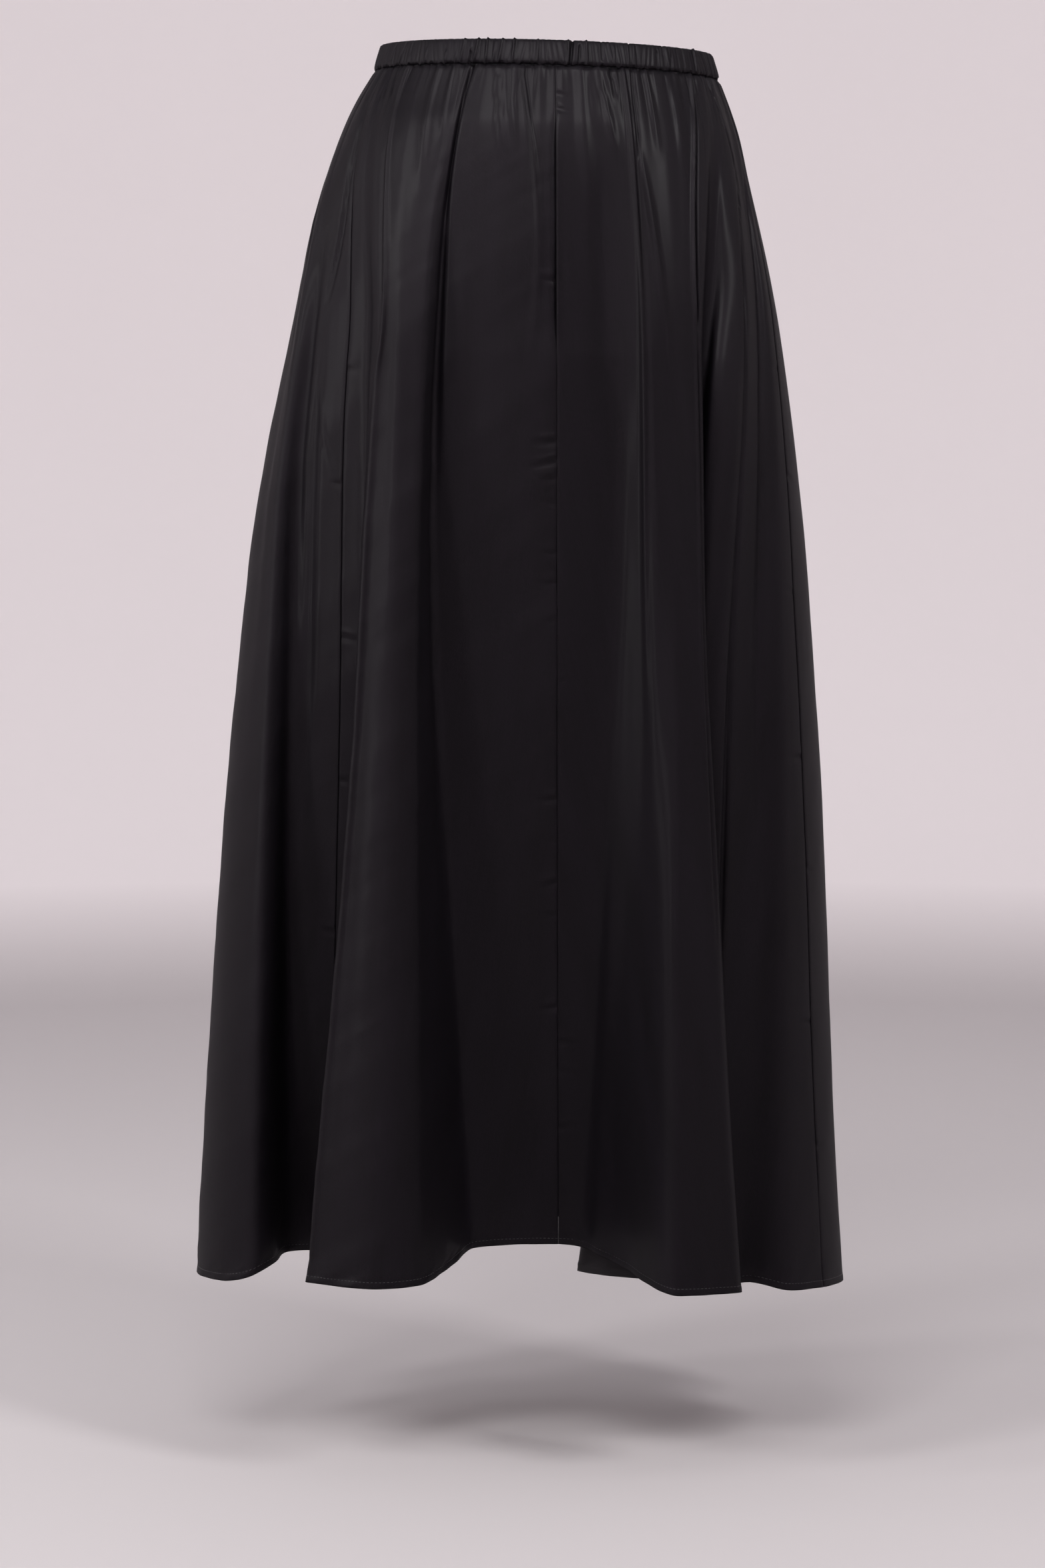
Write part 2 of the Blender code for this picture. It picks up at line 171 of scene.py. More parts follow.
# Long creases: where each lies round the cloth (0 to 1 from the centre
# front through the wearer's left) at its top, middle and end, the shares of the drop
# between which it runs, its widths and height in mm (below 0 it is a trough), and the
# share of its length that it runs before it starts to fade.
CREASES = (
    # s_top  s_mid   s_end   v_top  v_end   wide: top, end, high, hold
    (0.0455, 0.0460, 0.0520, 0.004, 0.560,  2.5,  5.5,  3.0, 0.50),
    (0.0530, 0.0560, 0.0610, 0.090, 0.700, 10.0, 19.0,  4.2, 0.40),
    (0.0500, 0.0488, 0.0476, 0.026, 0.090,  1.8,  2.6,  0.8, 0.35),
    (0.0530, 0.0508, 0.0522, 0.003, 0.085,  1.3,  1.8, -1.5, 0.60),
    (0.0500, 0.0660, 0.0800, 0.052, 0.330,  3.2,  9.0,  2.6, 0.35),
    (0.0200, 0.0203, 0.0210, 0.004, 0.060,  1.8,  4.0,  1.9, 0.30),
    (0.0245, 0.0290, 0.0330, 0.008, 0.080,  2.2,  5.0,  2.3, 0.35),
    (0.0358, 0.0366, 0.0372, 0.001, 0.034,  2.8,  1.3, -2.8, 0.45),
    (0.0656, 0.0674, 0.0695, 0.004, 0.080,  2.0,  5.0,  2.2, 0.30),
    (0.0868, 0.0884, 0.0900, 0.003, 0.085,  2.2,  5.0,  2.0, 0.30),
    (0.0132, 0.0132, 0.0185, 0.010, 0.150,  3.0,  7.0,  2.1, 0.35),
    (0.0188, 0.0170, 0.0150, 0.070, 0.300,  6.0, 11.0, -1.9, 0.40),
    (0.9842, 0.9930, 0.9896, 0.010, 0.250,  2.2,  5.0,  2.4, 0.35),
    (0.9828, 0.9832, 0.9836, 0.001, 0.020,  1.2,  1.5, -1.8, 0.40),
    (0.9790, 0.9812, 0.9840, 0.008, 0.075,  2.0,  4.0,  2.0, 0.30),
    (0.9715, 0.9760, 0.9805, 0.003, 0.095,  2.0,  5.0,  2.6, 0.30),
    (0.9620, 0.9640, 0.9650, 0.120, 0.420,  9.0, 16.0,  1.2, 0.35),
    (0.9515, 0.9485, 0.9465, 0.000, 0.140,  1.4,  2.6, -3.6, 0.75),
    (0.9465, 0.9475, 0.9440, 0.090, 0.400,  2.8,  7.0, -4.0, 0.55),
    (0.9430, 0.9430, 0.9440, 0.280, 0.750,  6.0, 12.0, -3.0, 0.40),
    (0.8735, 0.8770, 0.8670, 0.006, 0.270,  2.0,  3.2,  2.2, 0.80),
    (0.8676, 0.8690, 0.8728, 0.120, 1.500,  4.4,  7.0,  2.8, 0.45),
    (0.8128, 0.8112, 0.8045, 0.020, 0.220,  2.8,  4.6, -4.0, 0.60),
    (0.8008, 0.8003, 0.8012, 0.130, 0.620,  7.0, 13.0, -4.8, 0.45),
    (0.8062, 0.8058, 0.8058, 0.190, 0.760,  7.0, 12.0, -3.2, 0.50),
    (0.8061, 0.8088, 0.8160, 0.235, 0.360,  1.8,  2.4,  0.8, 0.50),
    (0.8300, 0.8345, 0.8430, 0.001, 0.036,  1.5,  2.2, -2.4, 0.50),
    (0.8520, 0.8600, 0.8670, 0.001, 0.032,  1.4,  1.8, -2.2, 0.50),
    (0.8268, 0.8282, 0.8300, 0.001, 0.042,  1.5,  2.4, -1.8, 0.50),
    (0.1115, 0.1032, 0.1100, 0.000, 0.215,  1.5,  1.9, -2.8, 0.90),
    (0.1065, 0.1126, 0.1100, 0.150, 0.740,  1.9,  3.0, -3.2, 0.75),
    (0.1080, 0.0998, 0.1064, 0.000, 0.215,  2.2,  2.6,  1.7, 0.90),
    (0.1030, 0.1092, 0.1066, 0.150, 0.640,  2.6,  3.6,  1.4, 0.60),
    (0.1850, 0.2140, 0.2115, 0.002, 0.125,  1.2,  1.7, -1.8, 0.90),
    (0.2130, 0.2122, 0.2124, 0.095, 0.420,  1.8,  2.6, -2.8, 0.90),
    (0.2124, 0.2124, 0.2119, 0.340, 0.800,  2.6,  3.8, -3.6, 0.65),
    (0.2050, 0.2060, 0.2050, 0.180, 0.660,  8.0, 10.0,  2.6, 0.60),
    (0.1930, 0.1965, 0.2020, 0.150, 0.740, 12.0, 15.0,  8.5, 0.55),
    (0.1840, 0.1865, 0.1950, 0.170, 0.560,  8.0, 11.0,  6.0, 0.55),
    (0.0262, 0.0262, 0.0262, 0.450, 1.600, 20.0, 26.0,  4.5, 0.50),
    (0.2390, 0.2300, 0.2252, 0.055, 0.300,  2.6,  6.0, -2.2, 0.80),
    (0.2254, 0.2250, 0.2262, 0.230, 0.700,  5.0, 10.0, -2.6, 0.50),
    (0.9060, 0.9070, 0.9080, 0.004, 0.120,  2.5,  6.0,  1.2, 0.30),
    (0.9200, 0.9220, 0.9230, 0.004, 0.070,  1.8,  4.0,  1.2, 0.30),
    (0.8960, 0.8950, 0.8930, 0.150, 0.600,  8.0, 14.0,  1.1, 0.35),
    (0.7650, 0.7640, 0.7600, 0.100, 0.700,  9.0, 16.0,  1.6, 0.35),
)
FROM_BAND = 0.02                # creases that start above this share come out of the band
# Places round the cloth with a sharp crease, where a panel's columns lie closer.
FINE_LINES = (0.0440, 0.0520, 0.1050, 0.1100, 0.2120, 0.7970, 0.8100, 0.8690, 0.9440, 0.9910)
FINE_WEIGHT, FINE_WIDTH = 1.6, 0.009
# How far the columns follow the hem's length, the places round the cloth and the bends.
COLUMN_WEIGHTS = (0.42, 0.45, 0.13)
BEND_WINDOW = 41                # ring steps that a bend is averaged over
# Creases of the same kind on the sides and back, spread over this part of the cloth.
HIDDEN_FROM, HIDDEN_TO, HIDDEN_CREASES = 0.262, 0.760, 38
HIDDEN_SPACING = (1.0, 0.6, 1.4, 0.8, 1.2, 0.7, 1.1)
HIDDEN_TOPS = (0.002, 0.03, 0.003, 0.08, 0.012)
HIDDEN_LENGTHS = (0.09, 0.30, 0.05, 0.42, 0.16, 0.07, 0.24, 0.11)
HIDDEN_LEANS = (-0.004, 0.002, 0.006, -0.001, 0.004, -0.007, 0.0)
HIDDEN_WIDTHS = (2.0, 5.0, 1.4, 8.0, 3.0, 2.2)                  # mm at the top
HIDDEN_HEIGHTS = (1.2, -1.3, 1.6, -0.9, 2.0, -1.7, 0.8, 1.1, -1.2)
HIDDEN_HOLD = 0.35

# Broad unevenness of hanging cloth: lengths of its waves round and down, in metres.
WAVES = (
    # round  down   phase  high (mm)
    (0.230, 1.900,  0.40,  0.34),
    (0.131, 1.500,  2.10,  0.22),
    (0.079, 1.250,  4.60,  0.16),
    (0.047, 0.950,  1.30,  0.10),
    (0.031, 0.800,  5.20,  0.06),
    (0.019, 0.600,  3.40,  0.03),
)
WAVES_FROM = 0.12               # metres below the band that they are full at

SEAMS = {
    # seam                mm that the cloth after it stands over the cloth before, from, to
    "centre_front_seam": (2.4, 0.030, 0.200),
    "left_side_seam":    (0.5, 0.100, 0.900),
    "centre_back_seam":  (0.9, 0.030, 0.190),
    "right_side_seam":  (-0.5, 0.100, 0.900),
}
# Short dimples that the sewing draws out of the cloth beside a seam: side 1 is the
# cloth after the seam, -1 the cloth before it.
DIMPLES = {
    # seam: (side, share of the drop, long and deep in mm, slant)
    "centre_front_seam": (
        (1, 0.024, 7, 0.5, 0.25), (1, 0.036, 9, 0.6, 0.30), (-1, 0.176, 10, 0.6, -0.15),
        (-1, 0.306, 15, 1.3, 0.10), (-1, 0.322, 17, 1.0, 0.25), (-1, 0.336, 11, 0.8, 0.10),
        (-1, 0.357, 9, 0.6, -0.10), (-1, 0.397, 9, 0.7, 0.10), (-1, 0.422, 10, 0.7, 0.15),
        (-1, 0.453, 9, 0.6, 0.05), (1, 0.505, 9, 0.5, -0.15), (-1, 0.603, 13, 1.1, 0.20),
        (-1, 0.640, 8, 0.5, -0.10), (-1, 0.675, 12, 1.0, 0.30), (-1, 0.703, 9, 0.7, 0.15),
        (-1, 0.784, 12, 0.9, 0.20), (1, 0.816, 10, 0.8, -0.10), (1, 0.841, 9, 0.7, 0.10),
        (1, 0.894, 12, 0.9, -0.35),
    ),
    "left_side_seam": (
        (-1, 0.240, 9, 0.6, 0.10), (1, 0.330, 10, 0.7, 0.20), (-1, 0.425, 9, 0.6, -0.10),
        (-1, 0.560, 11, 0.8, 0.20), (1, 0.655, 9, 0.6, 0.00), (-1, 0.780, 10, 0.7, 0.20),
        (1, 0.885, 10, 0.6, -0.20),
    ),
    "centre_back_seam": (
        (1, 0.130, 11, 0.8, 0.10), (-1, 0.235, 12, 0.9, 0.20), (1, 0.315, 9, 0.6, -0.10),
        (1, 0.410, 12, 0.9, 0.15), (-1, 0.520, 10, 0.7, 0.20), (1, 0.600, 9, 0.6, 0.05),
        (1, 0.705, 12, 0.9, -0.20), (-1, 0.830, 10, 0.8, 0.10),
    ),
    "right_side_seam": (
        (1, 0.250, 10, 0.7, 0.15), (-1, 0.345, 9, 0.6, -0.10), (1, 0.470, 11, 0.8, 0.20),
        (1, 0.590, 9, 0.6, 0.10), (-1, 0.720, 10, 0.7, -0.20), (1, 0.860, 11, 0.8, 0.15),
    ),
}
DIMPLE_REACH = 14               # mm above and below a dimple that it shows at all
OPEN_FADE = 0.04                # share of the drop over which an overlap comes and goes
# Beside a seam, in mm: the needle's dip and its reach, the reach of the overlap, and the
# soft raise over the allowances behind, with the stretch it runs over.
NEEDLE_DIP, NEEDLE_REACH, OVERLAP_REACH = 0.45, 0.8, 3.2
ALLOWANCE_RAISE, ALLOWANCE_FROM, ALLOWANCE_TO = 0.12, 1.2, 11
ALLOWANCE = 10.5                # mm from a seam to the end of the double wall

# At the hem, in mm: how far it is turned up, and from its edge to the stitches; how much
# the turn raises the cloth and the stitches draw it in; its ripples, and how far up they
# reach; and how far its stitches stay from a seam.
HEM_TURN, HEM_STITCH = 6.5, 5.2
HEM_RAISE, STITCH_DIP = 0.32, 0.40
HEM_RIPPLE, RIPPLE_REACH = 0.40, 16
STITCH_MARGIN = 1.6
# Ripples: their length and the length they change over (metres), how much they change
# (radians), and their share of the height.
RIPPLES = ((0.047, 0.31, 1.5, 1.0), (0.0213, 0.17, 2.1, 0.6))
TUCK, TUCK_REACH = 1.5, 1.9     # mm that the cloth is drawn in under the band, and how far down

# The casing seen from its end: offsets out of the ring and up from its middle, in mm,
# and how much of a fold shows at each point.
BAND_PROFILE = (
    # out    up    fold
    (-1.30, -9.5,  0.0),
    (-1.45,  0.0,  0.0),
    (-1.30,  8.0,  0.1),
    (-0.80,  9.1,  0.3),
    ( 0.00,  9.5,  0.6),
    ( 0.70,  9.0,  0.8),
    ( 1.10,  7.4,  1.0),
    ( 1.35,  3.0,  1.0),
    ( 1.40, -2.0,  1.0),
    ( 1.20, -6.3,  1.0),
    ( 0.75, -8.1,  0.9),
    (-0.05, -9.2,  0.7),
    (-0.80, -9.6,  0.3),
)
BAND_ROWS, BAND_COLUMNS = 34, 1300
BAND_FRONT = 80                 # degrees either way of the centre front with finer folds
# Folds of the casing that face the front: degrees from the centre
# front, lean from bottom to top, and the stretch of the casing's height they run over.
BAND_FOLDS = (
    # angle  lean  from  to    wide high (mm; a trough below 0)
    (-64.0,  3.0,  0.30, 1.00, 1.0, -1.8),
    (-57.0,  2.4,  0.10, 0.95, 0.9, -1.6),
    (-52.0,  0.3,  0.50, 1.00, 0.8, -1.0),
    (-44.0,  0.5,  0.00, 0.55, 0.9,  1.0),
    (-35.4,  0.0,  0.00, 0.45, 0.9,  1.6),
    (-31.5,  0.3,  0.00, 0.30, 0.8,  1.0),
    (-29.0,  1.0,  0.05, 0.95, 1.0,  1.8),
    (-26.0,  0.8,  0.00, 0.45, 0.9, -2.5),
    (-24.0,  1.3,  0.05, 1.00, 0.9,  2.0),
    (-20.3,  0.4,  0.05, 1.00, 1.0,  2.2),
    (-17.6,  0.8,  0.10, 0.85, 0.9,  1.0),
    (-15.5,  1.2,  0.05, 1.00, 0.9,  1.6),
    (-11.2,  0.5,  0.05, 1.00, 0.9,  2.0),
    ( -5.4,  0.2,  0.10, 0.90, 0.8,  1.0),
    ( -3.2,  0.3,  0.10, 1.00, 0.8,  1.0),
    (  6.8,  0.5,  0.05, 0.95, 1.0,  1.8),
    (  8.0,  1.0,  0.00, 1.00, 0.9, -2.2),
    ( 10.6,  0.8,  0.00, 0.75, 0.9, -1.6),
    ( 13.0,  0.2,  0.05, 1.00, 0.9,  1.8),
    ( 18.2,  0.4,  0.30, 1.00, 0.8, -1.0),
    ( 22.5,  0.0,  0.00, 0.80, 0.8,  1.0),
    ( 28.4,  0.2,  0.05, 1.00, 0.9, -1.8),
    ( 31.0,  0.0,  0.00, 0.85, 0.8, -1.0),
    ( 39.5,  0.6,  0.00, 0.70, 0.9, -1.6),
    ( 42.5,  0.2,  0.10, 1.00, 0.9, -1.6),
    ( 46.0,  1.6,  0.00, 0.60, 0.9, -1.8),
    ( 52.5,  0.6,  0.00, 0.95, 1.0, -2.0),
    ( 59.5,  1.0,  0.10, 1.00, 0.9,  1.8),
)
BAND_FINE = 176
BAND_FINE_WIDTHS = (1.0, 0.7, 1.3, 0.85, 1.15, 0.6, 1.25, 0.95, 0.75)
BAND_FINE_HEIGHTS = (0.80, 0.30, 1.15, 0.50, 0.20, 0.95, 0.40, 0.70, 0.15, 0.60, 1.25)  # mm
TOP_RISE, FOOT_JITTER = 0.8, 2.6    # how much folds lift the top edge and stir the lower one

# Cloth finishes. The relief is in metres, the grain is a share of it, and the threads
# are counted by the metre.
FINISHES = {
    # name          smooth rough relief   grain threads sheen coat
    "black_satin":  (0.34, 0.48, 0.00014, 0.7, 4200.0, 0.0, 0.13),
    "casing_satin": (0.34, 0.48, 0.00014, 0.7, 4200.0, 0.0, 0.13),
    "crepe_back":   (0.62, 0.75, 0.00012, 0.8, 3600.0, 0.25, 0.0),
}
VECTOR, NUMBER, COLOUR = "NodeSocketVector", "NodeSocketFloat", "NodeSocketColor"

# Soft boxes: where each stands, the height it is turned to, its size, and its share of
# the key light's strength.
LAMPS = (
    ("left_strip", (-2.3, -1.8, 0.5), -0.45, (0.35, 2.2), 0.34),
    ("left_side", (-2.7, -0.8, 0.5), -0.45, (0.4, 2.2), 0.48),
    ("left_high", (-2.0, -1.6, 1.5), -0.3, (0.6, 1.0), 0.38),
    ("front_high", (-0.5, -2.5, 1.9), -0.2, (1.6, 0.8), 1.0),
    ("right_high", (1.8, -1.8, 1.6), -0.3, (0.6, 1.0), 0.88),
    ("left_back", (-2.9, 0.3, 0.6), -0.45, (0.6, 2.0), 0.15),
)
LAMP_COLOUR = (1, 0.99, 0.99)
AIR_COLOUR, AIR_STRENGTH = (0.97, 0.96, 1.0, 1), 0.54
CAMERA_PLACE, CAMERA_DOWN = (-0.0189, -2.80, -0.40), 3.43       # metres, degrees
FLOOR_RADIUS, SWEEP_RADIUS, BACKDROP_TOP = 2.9, 1.4, 3.0
FLOOR_PAINTED_SHADE, PAINTED_SHADE_END = 0.60, -0.95    # painted shade: the floor's share of the paper's tone, up to this height


def smooth_curve(knots, values, at):
    """A cubic through the knots that never runs past a row of the table."""
    x, y = np.asarray(knots, float), np.asarray(values, float)
    spacing = np.diff(x)
    width = spacing.reshape((-1,) + (1,) * (y.ndim - 1))
    slope, tangent = np.diff(y, axis=0) / width, np.zeros_like(y)
    low, high = 2 * width[1:] + width[:-1], width[1:] + 2 * width[:-1]
    turns = slope[:-1] * slope[1:] <= 0
    safe_a = np.where(turns, 1.0, slope[:-1])
    safe_b = np.where(turns, 1.0, slope[1:])
    tangent[1:-1] = np.where(turns, 0.0, (low + high) / (low / safe_a + high / safe_b))
    tangent[0], tangent[-1] = slope[0], slope[-1]
    i = np.clip(np.searchsorted(x, at, side="right") - 1, 0, len(x) - 2)
    t, step = (at - x[i]) / spacing[i], spacing[i]
    return (
        y[i] * (1 + 2 * t) * (1 - t) ** 2
        + step * tangent[i] * t * (1 - t) ** 2
        + y[i + 1] * t * t * (3 - 2 * t)
        + step * tangent[i + 1] * t * t * (t - 1)
    )


def plain_ring(angle, z):
    """Points and outward directions, in plan, of the ring without folds."""
    rows = np.array(SECTIONS)
    drop = np.clip(-np.asarray(z, float), -rows[0, 0], -rows[-1, 0])
    right, left, front, back = (
        smooth_curve(-rows[:, 0], rows[:, k], drop) for k in range(1, 5)
    )
    to_left = 0.5 + 0.5 * np.tanh(SIDE_CHANGE * np.sin(angle))
    to_front = 0.5 + 0.5 * np.tanh(SIDE_CHANGE * np.cos(angle))
    a = right + (left - right) * to_left
    b = back + (front - back) * to_front
    x, y = a * np.sin(angle), -b * np.cos(angle)
    nx, ny = np.sin(angle) / a, -np.cos(angle) / b
    size = np.hypot(nx, ny)
    return x, y, nx / size, ny / size


def fold_rows():
    """The fold table with its first row again at the end, a whole turn on."""
    rows = np.array([row[1:] for row in FOLDS], float)
    last = rows[0].copy()
    last[:4] += 360
    return np.vstack([rows, last])


def cloth_places():
    """Where each fold line lies round the cloth, 0 to 1: shared by all levels."""
    rows = fold_rows()
    x, y, nx, ny = plain_ring(np.radians(rows[:, 3]), HEM_Z)
    x, y = x + rows[:, 5] * MM * nx, y + rows[:, 5] * MM * ny
    hem = np.hypot(np.diff(x), np.diff(y))
    waist = np.diff(rows[:, 0]) / 360
    places = np.cumsum(HEM_WEIGHT * hem / hem.sum() + (1 - HEM_WEIGHT) * waist)
    return np.concatenate([[0], places / places[-1]])


ROWS, PLACES = fold_rows(), cloth_places()
PLACE = {row[0]: PLACES[i] for i, row in enumerate(FOLDS)}


def round_the_cloth(column, s):
    """A column of the fold table at any place s, joined smoothly at the front seam."""
    turn = 360 if column < 4 else 0
    x = np.concatenate([PLACES[-4:-1] - 1, PLACES, PLACES[1:4] + 1])
    v = ROWS[:, column]
    y = np.concatenate([v[-4:-1] - turn, v, v[1:4] + turn])
    return smooth_curve(x, y, s)


def fade(t):
    """A smooth step from 0 to 1 while t runs from 0 to 1."""
    t = np.clip(t, 0.0, 1.0)
    return t * t * (3 - 2 * t)


def swell(distance, width):
    """1 on a line, falling off softly; `width` is its width half way up."""
    return np.exp(-2.77 * (distance / width) ** 2)


def repeated(values, index):
    """A short list read round and round."""
    return np.array(values)[np.asarray(index) % len(values)]


def uneven(count, widths):
    """Boundaries from 0 to 1 of `count` stretches whose widths repeat a short list."""
    steps = repeated(widths, np.arange(count))
    return np.concatenate([[0], np.cumsum(steps) / steps.sum()])


def stretches(turn, count, widths):
    """Which of `count` uneven stretches each place lies in, and how far across it."""
    edges = uneven(count, widths)
    i = np.clip(np.searchsorted(edges, turn, side="right") - 1, 0, count - 1)
    return i, np.clip((turn - edges[i]) / (edges[i + 1] - edges[i]), 0, 1)


def gather_height(turn, v):
    """How far the small gathers raise the cloth, outwards, at share `turn` of the waist."""
    i, across = stretches(turn, GATHERS, GATHER_WIDTHS)
    depth, length = repeated(GATHER_DEPTHS, i) * MM, repeated(GATHER_LENGTHS, i)
    return depth * (np.sin(np.pi * across) ** 2 - 0.5) * np.exp(-((v / length) ** 1.3))


def pinch_height(turn, v):
    """Close pinches at the band: sharp valleys between round crests."""
    i, across = stretches(turn, PINCHES, PINCH_WIDTHS)
    deep, long = repeated(PINCH_DEPTHS, i) * MM, repeated(PINCH_LENGTHS, i)
    return deep * (np.sin(np.pi * across) ** 0.7 - 0.75) * np.exp(-((v / long) ** 1.2))


def softened(points):
    """The closed ring with every turn rounded to about TURN_RADIUS."""
    step = np.linalg.norm(np.roll(points, -1, axis=0) - points, axis=1).mean()
    wave = 2 * np.pi * np.fft.rfftfreq(len(points))
    keep = np.exp(-0.5 * (wave * TURN_RADIUS / step) ** 2)
    return np.fft.irfft(np.fft.rfft(points, axis=0) * keep[:, None], len(points), axis=0)


def cloth_ring(v):
    """Outer points, outward directions and running length of the cloth, at share v."""
    columns = (round_the_cloth(k, RING_S[:-1]) for k in range(7))
    waist, hip, knee, hem, out_hip, out_hem, up = columns
    angle = np.radians(smooth_curve((0, HIP, KNEE, 1), (waist, hip, knee, hem), v))
    if v < HIP:
        out = out_hip * fade(v / HIP)
    else:
        out = out_hip + (out_hem - out_hip) * ((v - HIP) / (1 - HIP)) ** 1.15
    x, y, nx, ny = plain_ring(angle, SEAM_Z - DROP * v)
    x, y = x + out * MM * nx, y + out * MM * ny
    z = SEAM_Z - DROP * v + up * MM * v**3
    points = softened(np.stack([x, y, z], axis=1))
    along = np.roll(points, -1, axis=0) - np.roll(points, 1, axis=0)
    normal = np.stack([along[:, 1], -along[:, 0]], axis=1)
    normal /= np.linalg.norm(normal, axis=1)[:, None]
    points[:, :2] += normal * gather_height((waist / 360) % 1, v)[:, None]
    points[:, 2] += sway(points, v)
    points = np.vstack([points, points[:1]])
    normal = np.vstack([normal, normal[:1]])
    length = np.concatenate(
        [[0], np.cumsum(np.linalg.norm(np.diff(points[:, :2], axis=0), axis=1))]
    )
    return points, normal, length


def sway(points, v):
    """Height that the tilt of the waist adds, which fades towards the hem."""
    roll = ROLL_WAIST + (ROLL_HEM - ROLL_WAIST) * v
    return roll * points[:, 0] + FRONT_DIP * (1 - v) * points[:, 1] / 0.1


def at_length(ring, lengths):
    """Points and outward directions of a ring at distances `lengths` round it."""
    points, normal, length = ring

    def picked(values):
        return np.stack([np.interp(lengths, length, column) for column in values.T], axis=1)

    directions = picked(normal)
    return picked(points), directions / np.linalg.norm(directions, axis=1)[:, None]


RINGS = {}


def ring_at(v):
    """The ring of cloth at share v of the drop, worked out once."""
    if v not in RINGS:
        RINGS[v] = cloth_ring(v)
    return RINGS[v]


def hidden_creases():
    """Creases for the sides and back, as many and as uneven as those in front."""
    edges = HIDDEN_FROM + (HIDDEN_TO - HIDDEN_FROM) * uneven(HIDDEN_CREASES, HIDDEN_SPACING)
    shapes = (HIDDEN_TOPS, HIDDEN_LENGTHS, HIDDEN_LEANS, HIDDEN_WIDTHS, HIDDEN_HEIGHTS)
    rows = []
    for i, s in enumerate(edges):
        top, long, lean, wide, high = (repeated(values, i) for values in shapes)
        places = (s, s + 0.4 * lean, s + lean)
        rows.append((*places, top, top + long, wide, 1.6 * wide + 2, high, HIDDEN_HOLD))
    return rows


ALL_CREASES = list(CREASES) + hidden_creases()


def crease_height(length, run, v):
    """Height of the long creases along one row of points at distances `run`."""
    total = np.zeros_like(run)
    for s_top, s_mid, s_end, v_top, v_end, wide_top, wide_end, high, hold in ALL_CREASES:
        t = (v - v_top) / (v_end - v_top)
        from_band = v_top < FROM_BAND
        if t > 1 or (t < 0 and not from_band):
            continue
        t = max(t, 0.0)
        s = s_top * (1 - t) * (1 - 2 * t) + 4 * s_mid * t * (1 - t) + s_end * t * (2 * t - 1)
        wide = wide_top + (wide_end - wide_top) * t
        share = (1.0 if from_band else fade(t / 0.25)) * (1 - fade((t - hold) / (1 - hold)))
        total += high * MM * share * swell(run - np.interp(s, RING_S, length), wide * MM)
    return total


def wave_height(run, drop):
    """Broad unevenness, fading out at the band."""
    total = np.zeros_like(run)
    for around, down, phase, high in WAVES:
        bend = 0.5 * math.sin(2 * np.pi * drop / (1.7 * down) + 2 * phase)
        total += high * MM * np.sin(2 * np.pi * run / around + bend + phase) * math.sin(
            2 * np.pi * drop / down + 1.9 * phase
        )
    return total * fade(drop / WAVES_FROM)


def seam_height(seam, side, away, v):
    """What the sewing does to cloth `away` metres from a seam, on one side of it."""
    overlap, start, end = SEAMS[seam]
    open_run = fade((v - start) / OPEN_FADE) * (1 - fade((v - end) / OPEN_FADE))
    away = away / MM
    total = -NEEDLE_DIP * np.exp(-((away / NEEDLE_REACH) ** 2))
    total += 0.5 * side * overlap * open_run * np.exp(-((away / OVERLAP_REACH) ** 2))
    over = fade((away - ALLOWANCE_FROM) / 1.5) - fade((away - ALLOWANCE_TO) / 2.5)
    total += ALLOWANCE_RAISE * over
    for where, at, long, deep, slant in DIMPLES[seam]:
        down = (v - at) * DROP / MM
        if where != side or abs(down) > DIMPLE_REACH:
            continue
        along = down - slant * away
        dip_and_ridge = np.exp(-((along / 2.3) ** 2)) - 0.55 * np.exp(-(((along + 4.4) / 2.4) ** 2))
        total -= deep * dip_and_ridge * np.exp(-((away / long) ** 3)) * fade((away + 1) / 3)
    return total * MM


def edge_height(turn, run, v):
    """Cloth drawn in under the band, and the turned-up hem at the other end."""
    down, up = v * DROP / MM, (1 - v) * DROP / MM
    tuck = TUCK + 0.5 * np.sin(37 * turn * 2 * np.pi) + 0.45 * np.sin(101 * turn * 2 * np.pi + 1)
    total = -tuck * math.exp(-((down / TUCK_REACH) ** 1.5))
    total += HEM_RAISE * (1 - fade((up - HEM_TURN + 0.6) / 1.2))
    total -= STITCH_DIP * math.exp(-(((up - HEM_STITCH) / 0.9) ** 2))
    round_hem = 2 * np.pi * run
    ripple = sum(
        high * np.sin(round_hem / long + change * np.sin(round_hem / over))
        for long, over, change, high in RIPPLES
    )
    return (total + HEM_RIPPLE * ripple * math.exp(-up / RIPPLE_REACH)) * MM


def sheet_rows(start, end):
    """Shares of the drop at which a panel has a row, with more rows at its dimples."""
    rows = [np.linspace(a, b, n, endpoint=False) for a, b, n in ROW_ZONES]
    for seam, its_side in ((start, 1), (end, -1)):
        for side, at, *_ in DIMPLES[seam]:
            if side == its_side:
                rows.append(at + np.arange(-5, 6) * DIMPLE_ROWS * MM / DROP)
    chosen, least = [0.0], ROW_GAP * MM / DROP
    for v in np.sort(np.concatenate(rows)):
        if chosen[-1] + least < v < 1 - least:
            chosen.append(float(v))
    return chosen + [1.0]


